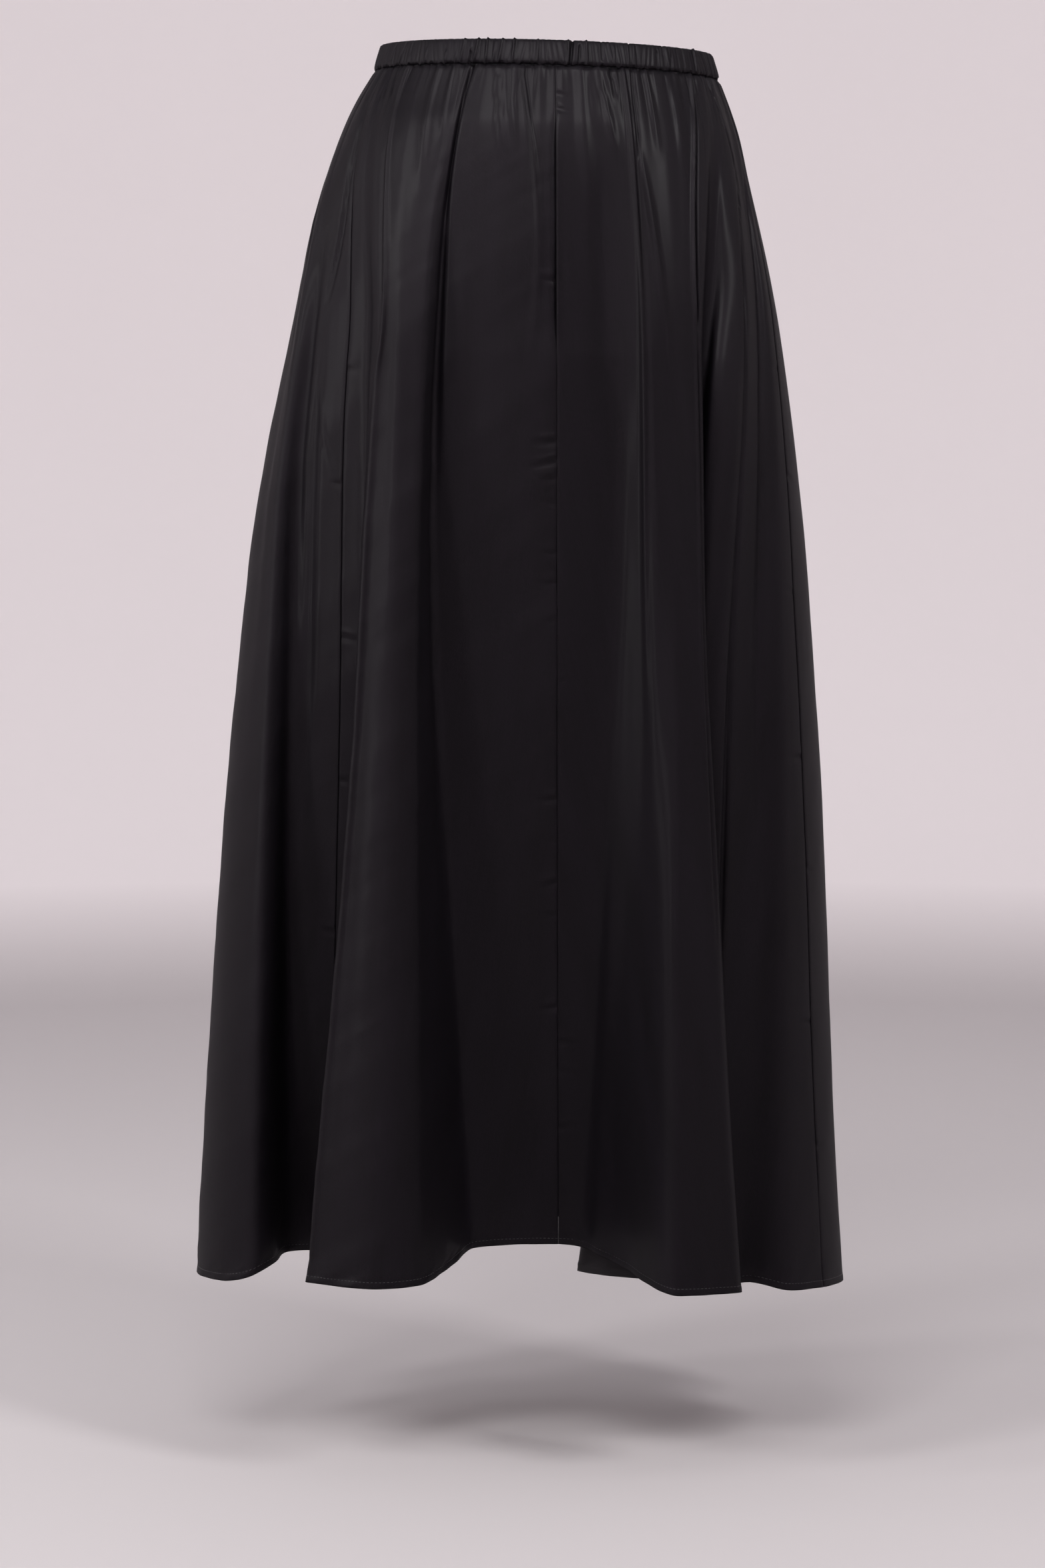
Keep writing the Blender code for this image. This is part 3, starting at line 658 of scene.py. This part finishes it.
def inner_places(start, end, count):
    """Places between two seams, closer together at bends of the hem and sharp creases."""
    _, normal, length = ring_at(1.0)
    bend = np.abs(np.diff(np.unwrap(np.arctan2(normal[:, 1], normal[:, 0]))))
    bend = np.pad(bend, BEND_WINDOW // 2, mode="wrap")
    bend = np.convolve(bend, np.ones(BEND_WINDOW) / BEND_WINDOW, "valid")
    by_length, by_place, by_bend = COLUMN_WEIGHTS
    weight = by_length * np.diff(length) / length[-1] + by_place / RING_STEPS
    weight += by_bend * bend / bend.sum()
    for line in FINE_LINES:
        weight += FINE_WEIGHT / RING_STEPS * swell(RING_S[:-1] - line, FINE_WIDTH)
    run = np.concatenate([[0], np.cumsum(weight)])
    low, high = np.interp([start, end], RING_S, run)
    return np.interp(np.linspace(low, high, count), run, RING_S)


def seam_runs(v, start, end):
    """Distances round the ring at which a panel starts and ends at share v."""
    first, last = np.interp([PLACE[start], PLACE[end] or 1.0], RING_S, ring_at(v)[2])
    return first + SEAM_GAP / 2, last - SEAM_GAP / 2


def laid_row(v, run, start, end, settings):
    """Points and outward directions of finished cloth at distances `run` on one row."""
    ring = ring_at(v)
    first, last = seam_runs(v, start, end)
    points, normal = at_length(ring, run)
    turn = (round_the_cloth(0, np.interp(run, ring[2], RING_S)) / 360) % 1
    out = settings.gathers * pinch_height(turn, v) + edge_height(turn, run, v)
    out += settings.creases * (crease_height(ring[2], run, v) + wave_height(run, v * DROP))
    out += seam_height(start, 1, run - first, v) + seam_height(end, -1, last - run, v)
    points[:, :2] += normal * out[:, None]
    return points, normal


def cloth_panel(name, start, end, columns, settings, materials):
    """One panel: a grid laid on the hanging shape of the cloth, then given its wall."""
    edge = np.array(SEAM_COLUMNS) * MM
    places = inner_places(PLACE[start], PLACE[end] or 1.0, columns + 3 - 2 * len(edge))
    rows = sheet_rows(start, end)
    sheet = np.empty((len(rows), columns + 1, 3))
    pattern = np.empty((len(rows), columns + 1, 2))
    double = np.empty((len(rows), columns + 1))
    for k, v in enumerate(rows):
        first, last = seam_runs(v, start, end)
        share = np.interp(places, RING_S, ring_at(v)[2])
        share = (share - share[0]) / (share[-1] - share[0])
        middle = first + edge[-1] + share * (last - first - 2 * edge[-1])
        run = np.concatenate([first + edge[:-1], middle, last - edge[:-1][::-1]])
        sheet[k], _ = laid_row(v, run, start, end, settings)
        pattern[k, :, 0] = run - (first + last) / 2
        pattern[k, :, 1] = -v * DROP
        near = np.minimum(run - first, last - run) / MM
        hem = 1 - fade((1 - v) * DROP / MM - HEM_TURN)
        double[k] = np.maximum(1 - fade((near - ALLOWANCE) / 1.5), hem)
    sheet[0, :, 2] -= SEAM_GAP
    bm = grid_to(sheet, pattern, double)
    bm.faces.ensure_lookup_table()
    bm.faces[0].normal_update()
    if bm.faces[0].normal.dot(bm.faces[0].calc_center_median() * Vector((1, 1, 0))) < 0:
        bmesh.ops.reverse_faces(bm, faces=bm.faces)
    obj = finished(name, bm, materials)
    wall = obj.modifiers.new("wall", "SOLIDIFY")
    wall.thickness = settings.wall
    wall.offset = -1
    wall.vertex_group = obj.vertex_groups.new(name="doubled").name
    wall.thickness_vertex_group = INNER_TURN
    wall.material_offset = 1
    wall.use_quality_normals = True
    return obj


def band_fold_height(angle, radius, share_up, depth):
    """Folds of the casing: those listed in front, and fine ones all round."""
    degrees = (np.degrees(angle) + 180) % 360 - 180
    total = np.zeros_like(angle)
    for centre, lean, start, end, wide, high in BAND_FOLDS:
        away = np.radians(degrees - centre - lean * (share_up - 0.5)) * radius
        share = fade((share_up - start) / 0.12 + 1) * fade((end - share_up) / 0.12 + 1)
        total += high * MM * share * swell(away, wide * MM)
    lean = 0.55 * np.sin(7 * angle) + 0.45 * np.sin(17 * angle + 1)
    turn = (angle / (2 * np.pi) + lean * (share_up - 0.5) / BAND_FINE) % 1
    i, across = stretches(turn, BAND_FINE, BAND_FINE_WIDTHS)
    fine = repeated(BAND_FINE_HEIGHTS, i) * MM * (np.sin(np.pi * across) ** 0.8 - 0.55)
    facing = fade((BAND_FRONT - np.abs(degrees)) / 12)
    return depth * (total + fine * (1.35 - 0.6 * share_up) * (1.5 - 0.9 * facing))


def casing(name, settings, materials):
    """The gathered tube that holds the elastic: its outline swept round the waist."""
    angle = 2 * np.pi * np.arange(BAND_COLUMNS) / BAND_COLUMNS
    x, y, nx, ny = plain_ring(angle, SEAM_Z)
    run = np.cumsum(np.hypot(np.diff(x, prepend=x[-1]), np.diff(y, prepend=y[-1])))
    run = np.concatenate([run, [run[-1] + run[1] - run[0]]])
    profile = np.array(BAND_PROFILE)
    at = np.linspace(0, len(profile) - 1, BAND_ROWS)
    outs, ups, folds = (smooth_curve(np.arange(len(profile)), profile[:, k], at) for k in range(3))
    jitter = 0.30 * np.sin(41 * angle) + 0.25 * np.sin(97 * angle + 2) + 0.2 * np.sin(163 * angle)
    rows, down, path = [], [], 0.0
    for k in range(BAND_ROWS):
        share_up = (ups[k] * MM + BAND_HEIGHT / 2) / BAND_HEIGHT
        fold = band_fold_height(angle, np.hypot(x, y), share_up, settings.folds)
        reach = outs[k] * MM + fold * folds[k] - BAND_TAPER * share_up - BAND_INSET
        rise = TOP_RISE * fold * fade((share_up - 0.7) / 0.3) * folds[k]
        rise += FOOT_JITTER * jitter * MM * fade((0.15 - share_up) / 0.15) * folds[k]
        points = np.stack([x + reach * nx, y + reach * ny, ups[k] * MM + rise], axis=1)
        points[:, 2] += sway(points, 0)
        rows.append(np.vstack([points, points[:1]]))
        if k:
            path += math.hypot(outs[k] - outs[k - 1], ups[k] - ups[k - 1]) * MM
        down.append(path)
    down.append(path + 0.5 * MM)
    pattern = np.stack(np.meshgrid(run, down), axis=2)
    bm = grid_to(np.array(rows + rows[:1]), pattern)
    bmesh.ops.remove_doubles(bm, verts=bm.verts, dist=1e-7)
    bmesh.ops.recalc_face_normals(bm, faces=bm.faces)
    return finished(name, bm, materials)


def hem_stitches(name, cloth, settings, materials):
    """A row of stitches along the turned-up hem, each a bead half sunk in the cloth."""
    v, places = 1 - HEM_STITCH * MM / DROP, []
    for _, _, start, end, *_ in PANELS:
        first, last = seam_runs(v, start, end)
        count = int((last - first - 2 * MM) / settings.pitch)
        run = np.linspace(first + STITCH_MARGIN * MM, last - STITCH_MARGIN * MM, count)
        points, normal = laid_row(v, run, start, end, cloth)
        ahead, _ = laid_row(v, run + 0.1 * MM, start, end, cloth)
        for point, out, step in zip(points, normal, ahead - points):
            along, side = Vector(step).normalized(), Vector((*out, 0.0))
            turn = Matrix((side, along.cross(side), along)).transposed().to_4x4()
            size = Matrix.Diagonal((settings.thread, settings.thread, settings.length, 1))
            move = Matrix.Translation(Vector(point) + side * settings.thread * 0.25)
            places.append(move @ turn @ size)
    return finished(name, beads_at(places), materials)


def grid_to(points, pattern, double=None):
    """A bmesh grid moved to points[row, column]. Its UV map holds metres over the flat
    cloth, and its first vertex group how far each point is doubled."""
    rows, columns = points.shape[0] - 1, points.shape[1] - 1
    bm = bmesh.new()
    bmesh.ops.create_grid(bm, x_segments=columns, y_segments=rows, size=1)
    bm.verts.index_update()
    doubled = bm.verts.layers.deform.new() if double is not None else None
    flat = []
    for vert in bm.verts:
        column = round((vert.co.x + 1) / 2 * columns)
        row = round((vert.co.y + 1) / 2 * rows)
        vert.co = points[row, column]
        flat.append(pattern[row, column])
        if doubled is not None:
            vert[doubled][0] = float(double[row, column])
    layer = bm.loops.layers.uv.new("cloth")
    for face in bm.faces:
        for loop in face.loops:
            loop[layer].uv = flat[loop.vert.index]
    return bm


def beads_at(places):
    """A small bead at each place, made a few dozen at a time and then gathered up."""
    whole = bmesh.new()
    for start in range(0, len(places), 40):
        some = bmesh.new()
        for place in places[start : start + 40]:
            bmesh.ops.create_uvsphere(some, u_segments=6, v_segments=4, radius=0.5, matrix=place)
        mesh = bpy.data.meshes.new("beads")
        some.to_mesh(mesh)
        some.free()
        whole.from_mesh(mesh)
        bpy.data.meshes.remove(mesh)
    return whole


def finished(name, bm, materials):
    """The object of a bmesh, shaded smooth, in its materials."""
    for face in bm.faces:
        face.smooth = True
    mesh = bpy.data.meshes.new(name)
    bm.to_mesh(mesh)
    bm.free()
    for material in materials:
        mesh.materials.append(material)
    obj = bpy.data.objects.new(name, mesh)
    bpy.context.scene.collection.objects.link(obj)
    return obj


def placed(tree, kind, inputs=None, **choices):
    """A node with its choices made, given as its first output in use. Each input takes a
    plain value or another node's output."""
    made = tree.nodes.new(kind)
    for name, value in choices.items():
        setattr(made, name, value)
    for name, value in (inputs or {}).items():
        if isinstance(value, bpy.types.NodeSocket):
            tree.links.new(value, made.inputs[name])
        else:
            made.inputs[name].default_value = value
    return next(socket for socket in made.outputs if socket.enabled)


def other(socket, name):
    """Another output of the node that a socket belongs to."""
    return socket.node.outputs[name]


def worked(tree, operation, *inputs):
    """What a Math node makes of its inputs."""
    return placed(tree, "ShaderNodeMath", dict(enumerate(inputs)), operation=operation)


def mixed(tree, factor, a, b, kind="FLOAT"):
    """A Mix node's result: `a` where the factor is 0, `b` where it is 1."""
    return placed(tree, "ShaderNodeMix", {"Factor": factor, "A": a, "B": b}, data_type=kind)


def ranged(tree, value, low, high, curve="LINEAR"):
    """A value that runs from 0 at `low` to 1 at `high`."""
    ends = {"Value": value, "From Min": low, "From Max": high}
    return placed(tree, "ShaderNodeMapRange", ends, interpolation_type=curve)


def scaled(tree, place, scale):
    """A place, multiplied."""
    return placed(tree, "ShaderNodeVectorMath", {0: place, "Scale": scale}, operation="SCALE")


def noise(tree, place, stretch, detail, roughness):
    """Noise whose scale along each axis is `stretch`."""
    drawn = placed(tree, "ShaderNodeMapping", {"Vector": place, "Scale": stretch})
    look = {"Vector": drawn, "Scale": 1.0, "Detail": detail, "Roughness": roughness}
    return placed(tree, "ShaderNodeTexNoise", look)


def group_of(name, takes, gives):
    """An empty node group, what it is given and the sockets of its results."""
    tree = bpy.data.node_groups.new(name, "ShaderNodeTree")
    for socket, kind, value in takes:
        made = tree.interface.new_socket(socket, in_out="INPUT", socket_type=kind)
        if value is not None:
            made.default_value = value
    for socket, kind in gives:
        tree.interface.new_socket(socket, in_out="OUTPUT", socket_type=kind)
    return tree, tree.nodes.new("NodeGroupInput").outputs, tree.nodes.new("NodeGroupOutput").inputs


def satin_weave():
    """Five-end satin: long floats down the cloth, stepped from thread to thread, under
    uneven yarn and the fine grain of crepe."""
    tree, given, result = group_of(
        "satin_weave",
        (
            ("Cloth Place", VECTOR, None),
            ("Threads per Metre", NUMBER, 4200.0),
            ("Grain per Metre", NUMBER, 700.0),
            ("Grain Share", NUMBER, 0.6),
        ),
        (("Height", NUMBER), ("Yarn", NUMBER)),
    )
    threads = scaled(tree, given["Cloth Place"], given["Threads per Metre"])
    axes = placed(tree, "ShaderNodeSeparateXYZ", {0: threads})
    step = worked(tree, "MULTIPLY", worked(tree, "FLOOR", other(axes, "X")), 2.0)
    fifth = worked(tree, "MULTIPLY", worked(tree, "ADD", other(axes, "Y"), step), 0.2)
    end_dip = ranged(tree, worked(tree, "PINGPONG", fifth, 1.0), 0.0, 0.25, "SMOOTHSTEP")
    across = worked(tree, "PINGPONG", other(axes, "X"), 0.5)
    weave = worked(tree, "MULTIPLY", end_dip, ranged(tree, across, 0.0, 0.5, "SMOOTHSTEP"))
    grain_place = scaled(tree, given["Cloth Place"], given["Grain per Metre"])
    grain = noise(tree, grain_place, (1.0, 0.45, 1.0), 3.0, 0.6)
    yarn = noise(tree, threads, (0.30, 0.004, 1.0), 2.0, 0.55)
    tree.links.new(mixed(tree, given["Grain Share"], weave, grain), result["Height"])
    tree.links.new(mixed(tree, 0.55, yarn, grain), result["Yarn"])
    return tree


def cloth_tone():
    """Soft patches and streaks, as handling and hanging leave in dark satin."""
    tree, given, result = group_of(
        "cloth_tone",
        (
            ("Cloth Place", VECTOR, None),
            ("Yarn", NUMBER, 0.5),
            ("Dark", COLOUR, (0.008, 0.0075, 0.0085, 1)),
            ("Light", COLOUR, (0.02, 0.019, 0.021, 1)),
            ("Smooth", NUMBER, 0.34),
            ("Rough", NUMBER, 0.46),
        ),
        (("Color", COLOUR), ("Roughness", NUMBER)),
    )
    soft = noise(tree, given["Cloth Place"], (34.0, 4.0, 1.0), 3.0, 0.5)
    both = mixed(tree, 0.7, soft, given["Yarn"])
    shade = mixed(tree, ranged(tree, both, 0.32, 0.68), given["Dark"], given["Light"], "RGBA")
    tree.links.new(shade, result["Color"])
    tree.links.new(mixed(tree, both, given["Smooth"], given["Rough"]), result["Roughness"])
    return tree


def shared(build):
    """The node group that a function makes, made once."""
    return bpy.data.node_groups.get(build.__name__) or build()


def new_material(name, settings):
    """A material, its node tree and its shader's sockets, with the plain ones set."""
    material = bpy.data.materials.new(name)
    material.use_nodes = True
    shader = material.node_tree.nodes["Principled BSDF"].inputs
    for socket, value in settings.items():
        shader[socket].default_value = value
    return material, material.node_tree, shader


def cloth_material(name, dark, light):
    """A woven cloth: the shared weave for its relief, the shared tone for its colour."""
    smooth, rough, relief, grain, threads, sheen, coat = FINISHES[name]
    material, tree, shader = new_material(name, {
        "Metallic": 0.0,
        "Specular IOR Level": 0.10,
        "Specular Tint": (1, 0.88, 1, 1),
        "Coat Weight": coat,
        "Coat Roughness": 0.25,
        "Coat IOR": 1.3,
        "Coat Tint": (1, 0.94, 1, 1),
        "Sheen Weight": sheen,
        "Sheen Roughness": 0.35,
        "Sheen Tint": (0.85, 0.83, 0.86, 1),
    })
    place = placed(tree, "ShaderNodeUVMap", uv_map="cloth")
    woven = placed(tree, "ShaderNodeGroup", {
        "Cloth Place": place, "Threads per Metre": threads, "Grain Share": grain,
    }, node_tree=shared(satin_weave))
    toned = placed(tree, "ShaderNodeGroup", {
        "Cloth Place": place, "Yarn": other(woven, "Yarn"),
        "Dark": (*dark, 1), "Light": (*light, 1), "Smooth": smooth, "Rough": rough,
    }, node_tree=shared(cloth_tone))
    facing = other(placed(tree, "ShaderNodeLayerWeight", {"Blend": 0.35}), "Facing")
    glance = mixed(tree, facing, other(toned, "Roughness"), 0.95)
    relief_node = {"Strength": 1.0, "Distance": relief, "Height": woven}
    tree.links.new(toned, shader["Base Color"])
    tree.links.new(glance, shader["Roughness"])
    tree.links.new(placed(tree, "ShaderNodeBump", relief_node), shader["Normal"])
    return material


def thread_material(colour):
    """Spun sewing thread: a tight twist over a dull black."""
    material, tree, shader = new_material(
        "sewing_thread", {"Metallic": 0.0, "Roughness": 0.55, "Sheen Weight": 0.2}
    )
    place = other(placed(tree, "ShaderNodeTexCoord"), "Object")
    ply = {"Vector": place, "Scale": 900.0, "Distortion": 1.5}
    twist = other(placed(tree, "ShaderNodeTexWave", ply, bands_direction="DIAGONAL"), "Fac")
    tone = mixed(tree, twist, (*colour, 1), (*(2.2 * c for c in colour), 1), "RGBA")
    relief = {"Strength": 0.6, "Distance": 0.00008, "Height": twist}
    tree.links.new(tone, shader["Base Color"])
    tree.links.new(placed(tree, "ShaderNodeBump", relief), shader["Normal"])
    return material


def backdrop_material(colour, floor):
    """Matt studio paper, very slightly uneven, and darker on the floor, where shade is painted into its
    colour.
    """
    material, tree, shader = new_material(
        "studio_paper", {"Metallic": 0.0, "Specular IOR Level": 0.2, "Roughness": 0.85}
    )
    place = other(placed(tree, "ShaderNodeTexCoord"), "Object")
    cloud = placed(tree, "ShaderNodeTexNoise", {"Vector": place, "Scale": 1.3, "Detail": 2.0})
    tone = mixed(tree, cloud, (*colour, 1), (*(0.96 * c for c in colour), 1), "RGBA")
    height = other(placed(tree, "ShaderNodeSeparateXYZ", {0: place}), "Z")
    # Painted shade: the floor and the foot of the sweep are painted darker than the rest of the paper.
    shade = (*(FLOOR_PAINTED_SHADE * c for c in colour), 1)
    level = mixed(tree, ranged(tree, height, floor, PAINTED_SHADE_END), shade, tone, "RGBA")
    tree.links.new(level, shader["Base Color"])
    return material


def backdrop(name, studio):
    """The floor and the paper's sweep up behind it: one outline, spun all the way round."""
    bm = bmesh.new()
    outline = [bm.verts.new((x, 0, studio.floor)) for x in (0, FLOOR_RADIUS)]
    for k in range(1, 13):
        turn = math.radians(90 * k / 12)
        x = FLOOR_RADIUS + SWEEP_RADIUS * math.sin(turn)
        outline.append(bm.verts.new((x, 0, studio.floor + SWEEP_RADIUS * (1 - math.cos(turn)))))
    outline.append(bm.verts.new((FLOOR_RADIUS + SWEEP_RADIUS, 0, BACKDROP_TOP)))
    edges = [bm.edges.new(pair) for pair in zip(outline, outline[1:])]
    bmesh.ops.spin(
        bm, geom=outline + edges, cent=(0, 0, 0), axis=(0, 0, 1), angle=2 * math.pi,
        steps=96, use_merge=True,
    )
    bmesh.ops.remove_doubles(bm, verts=bm.verts, dist=1e-5)
    bmesh.ops.recalc_face_normals(bm, faces=bm.faces)
    bm.faces.ensure_lookup_table()
    if bm.faces[0].normal.z < 0:
        bmesh.ops.reverse_faces(bm, faces=bm.faces)
    return finished(name, bm, (backdrop_material(studio.paper, studio.floor),))


def soft_light(name, place, height, size, watts):
    """A large soft box at `place`, turned towards the skirt at `height`."""
    lamp = bpy.data.lights.new(name, "AREA")
    lamp.shape = "RECTANGLE"
    lamp.size, lamp.size_y = size
    lamp.energy, lamp.color = watts, LAMP_COLOUR
    box = bpy.data.objects.new(name, lamp)
    box.location = place
    aim = Vector((0, 0, height)) - Vector(place)
    box.rotation_euler = aim.to_track_quat("-Z", "Y").to_euler()
    box.visible_camera = False
    bpy.context.scene.collection.objects.link(box)


def studio_air(scene):
    """The even light that fills the studio."""
    scene.world = bpy.data.worlds.new("studio_air")
    scene.world.use_nodes = True
    air = scene.world.node_tree.nodes["Background"].inputs
    air["Color"].default_value = AIR_COLOUR
    air["Strength"].default_value = AIR_STRENGTH
    scene.view_settings.view_transform = "Standard"


def photo_view(scene, lens):
    """The camera, at the photograph's angle."""
    view = bpy.data.cameras.new("photo_view")
    view.sensor_fit, view.sensor_height = "VERTICAL", 36
    view.lens = lens
    camera = bpy.data.objects.new("photo_view", view)
    camera.location = CAMERA_PLACE
    camera.rotation_euler = (math.radians(90 - CAMERA_DOWN), 0, 0)
    scene.collection.objects.link(camera)
    scene.camera = camera


class SkirtCloth(bpy.types.PropertyGroup):
    wall: FloatProperty(
        name="Doubled Wall", description="Thickness of the cloth where it is turned or sewn double",
        default=0.0009, min=0.0004, max=0.002, unit="LENGTH",
    )
    gathers: FloatProperty(
        name="Pinches", description="Depth of the close pinches at the band, 1 as worn",
        default=1.0, min=0.0, max=2.0, subtype="FACTOR",
    )
    creases: FloatProperty(
        name="Creases", description="Depth of the long soft creases, 1 as worn",
        default=1.0, min=0.0, max=2.0, subtype="FACTOR",
    )
    dark: FloatVectorProperty(
        name="Satin Dark", description="Darkest tone of the satin",
        default=(0.0002, 0.0002, 0.0002), size=3, min=0.0, max=1.0, subtype="COLOR",
    )
    light: FloatVectorProperty(
        name="Satin Light", description="Lightest tone of the satin",
        default=(0.0036, 0.0029, 0.0044), size=3, min=0.0, max=1.0, subtype="COLOR",
    )
    back: FloatVectorProperty(
        name="Crepe Back", description="Tone of the dull inner side",
        default=(0.014, 0.013, 0.014), size=3, min=0.0, max=1.0, subtype="COLOR",
    )


class SkirtCasing(bpy.types.PropertyGroup):
    folds: FloatProperty(
        name="Folds", description="Depth of the folds of the elastic casing, 1 as worn",
        default=1.0, min=0.0, max=2.0, subtype="FACTOR",
    )


class SkirtStitching(bpy.types.PropertyGroup):
    pitch: FloatProperty(
        name="Pitch", description="Distance from one hem stitch to the next",
        default=0.003, min=0.0015, max=0.01, unit="LENGTH",
    )
    length: FloatProperty(
        name="Stitch", description="Length of a hem stitch",
        default=0.0022, min=0.001, max=0.008, unit="LENGTH",
    )
    thread: FloatProperty(
        name="Thread", description="Thickness of the thread",
        default=0.00032, min=0.0001, max=0.001, unit="LENGTH",
    )
    colour: FloatVectorProperty(
        name="Thread Colour", description="Colour of the sewing thread",
        default=(0.012, 0.011, 0.012), size=3, min=0.0, max=1.0, subtype="COLOR",
    )


class SkirtStudio(bpy.types.PropertyGroup):
    floor: FloatProperty(
        name="Floor", description="Height of the studio floor",
        default=-1.09, unit="LENGTH",
    )
    paper: FloatVectorProperty(
        name="Paper", description="Colour of the floor and backdrop",
        default=(0.84, 0.79, 0.80), size=3, min=0.0, max=1.0, subtype="COLOR",
    )
    key: FloatProperty(
        name="Key Light", description="Strength of the strongest soft box; the others follow it",
        default=48.5, min=0.0, unit="POWER",
    )
    lens: FloatProperty(
        name="Lens", description="Focal length of the camera, in millimetres",
        default=80.9, min=10.0, subtype="NONE",
    )


class SKIRT_OT_panels(bpy.types.Operator):
    """Build the four flared panels of satin"""

    bl_idname = "skirt.panels"
    bl_label = "Panels"

    def execute(self, context):
        cloth = context.scene.skirt_cloth
        satin = cloth_material("black_satin", cloth.dark, cloth.light)
        crepe = cloth_material("crepe_back", cloth.back, cloth.back)
        for name, node, start, end, columns, width, area in PANELS:
            piece = cloth_panel(name, start, end, columns, cloth, (satin, crepe))
            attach(piece, "root")
            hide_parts(node)
        return {"FINISHED"}


class SKIRT_OT_casing(bpy.types.Operator):
    """Build the gathered casing of the elastic at the waist"""

    bl_idname = "skirt.casing"
    bl_label = "Elastic Casing"

    def execute(self, context):
        cloth = context.scene.skirt_cloth
        satin = cloth_material("casing_satin", cloth.dark, cloth.light)
        piece = casing("satin_casing", context.scene.skirt_casing, (satin,))
        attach(piece, "root")
        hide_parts("waistband")
        return {"FINISHED"}


class SKIRT_OT_stitching(bpy.types.Operator):
    """Build the stitches along the hem"""

    bl_idname = "skirt.stitching"
    bl_label = "Stitching"

    def execute(self, context):
        scene = context.scene
        thread = thread_material(scene.skirt_stitching.colour)
        piece = hem_stitches("hem_stitches", scene.skirt_cloth, scene.skirt_stitching, (thread,))
        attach(piece, "root")
        return {"FINISHED"}


class SKIRT_OT_studio(bpy.types.Operator):
    """Build the pale floor and backdrop, the soft light and the camera"""

    bl_idname = "skirt.studio"
    bl_label = "Studio"

    def execute(self, context):
        scene, studio = context.scene, context.scene.skirt_studio
        backdrop("studio_floor", studio)
        for name, place, height, size, share in LAMPS:
            soft_light(name, place, height, size, share * studio.key)
        studio_air(scene)
        photo_view(scene, studio.lens)
        return {"FINISHED"}


class SKIRT_PT_sidebar(bpy.types.Panel):
    """Sizes and colours of the skirt, and its building steps"""

    bl_idname = "SKIRT_PT_sidebar"
    bl_label = "Satin Maxi Skirt"
    bl_space_type = "VIEW_3D"
    bl_region_type = "UI"
    bl_category = "Skirt"

    def draw(self, context):
        for group, operator, names in SIDEBAR:
            box = self.layout.box()
            for name in names:
                box.prop(getattr(context.scene, group), name)
            box.operator(operator)


SIDEBAR = (
    ("skirt_cloth", "skirt.panels", ("wall", "gathers", "creases", "dark", "light", "back")),
    ("skirt_casing", "skirt.casing", ("folds",)),
    ("skirt_stitching", "skirt.stitching", ("pitch", "length", "thread", "colour")),
    ("skirt_studio", "skirt.studio", ("floor", "paper", "key", "lens")),
)
SETTINGS = (
    ("skirt_cloth", SkirtCloth),
    ("skirt_casing", SkirtCasing),
    ("skirt_stitching", SkirtStitching),
    ("skirt_studio", SkirtStudio),
)
TOOLS = (
    SKIRT_OT_panels, SKIRT_OT_casing, SKIRT_OT_stitching, SKIRT_OT_studio, SKIRT_PT_sidebar,
)


def register():
    for name, kind in SETTINGS:
        bpy.utils.register_class(kind)
        setattr(bpy.types.Scene, name, PointerProperty(type=kind))
    for tool in TOOLS:
        bpy.utils.register_class(tool)


def unregister():
    for tool in reversed(TOOLS):
        bpy.utils.unregister_class(tool)
    for name, kind in reversed(SETTINGS):
        delattr(bpy.types.Scene, name)
        bpy.utils.unregister_class(kind)


def main():
    register()
    bpy.ops.skirt.panels()
    bpy.ops.skirt.casing()
    bpy.ops.skirt.stitching()
    bpy.ops.skirt.studio()
    bpy.context.view_layer.update()


if __name__ == "__main__":
    main()
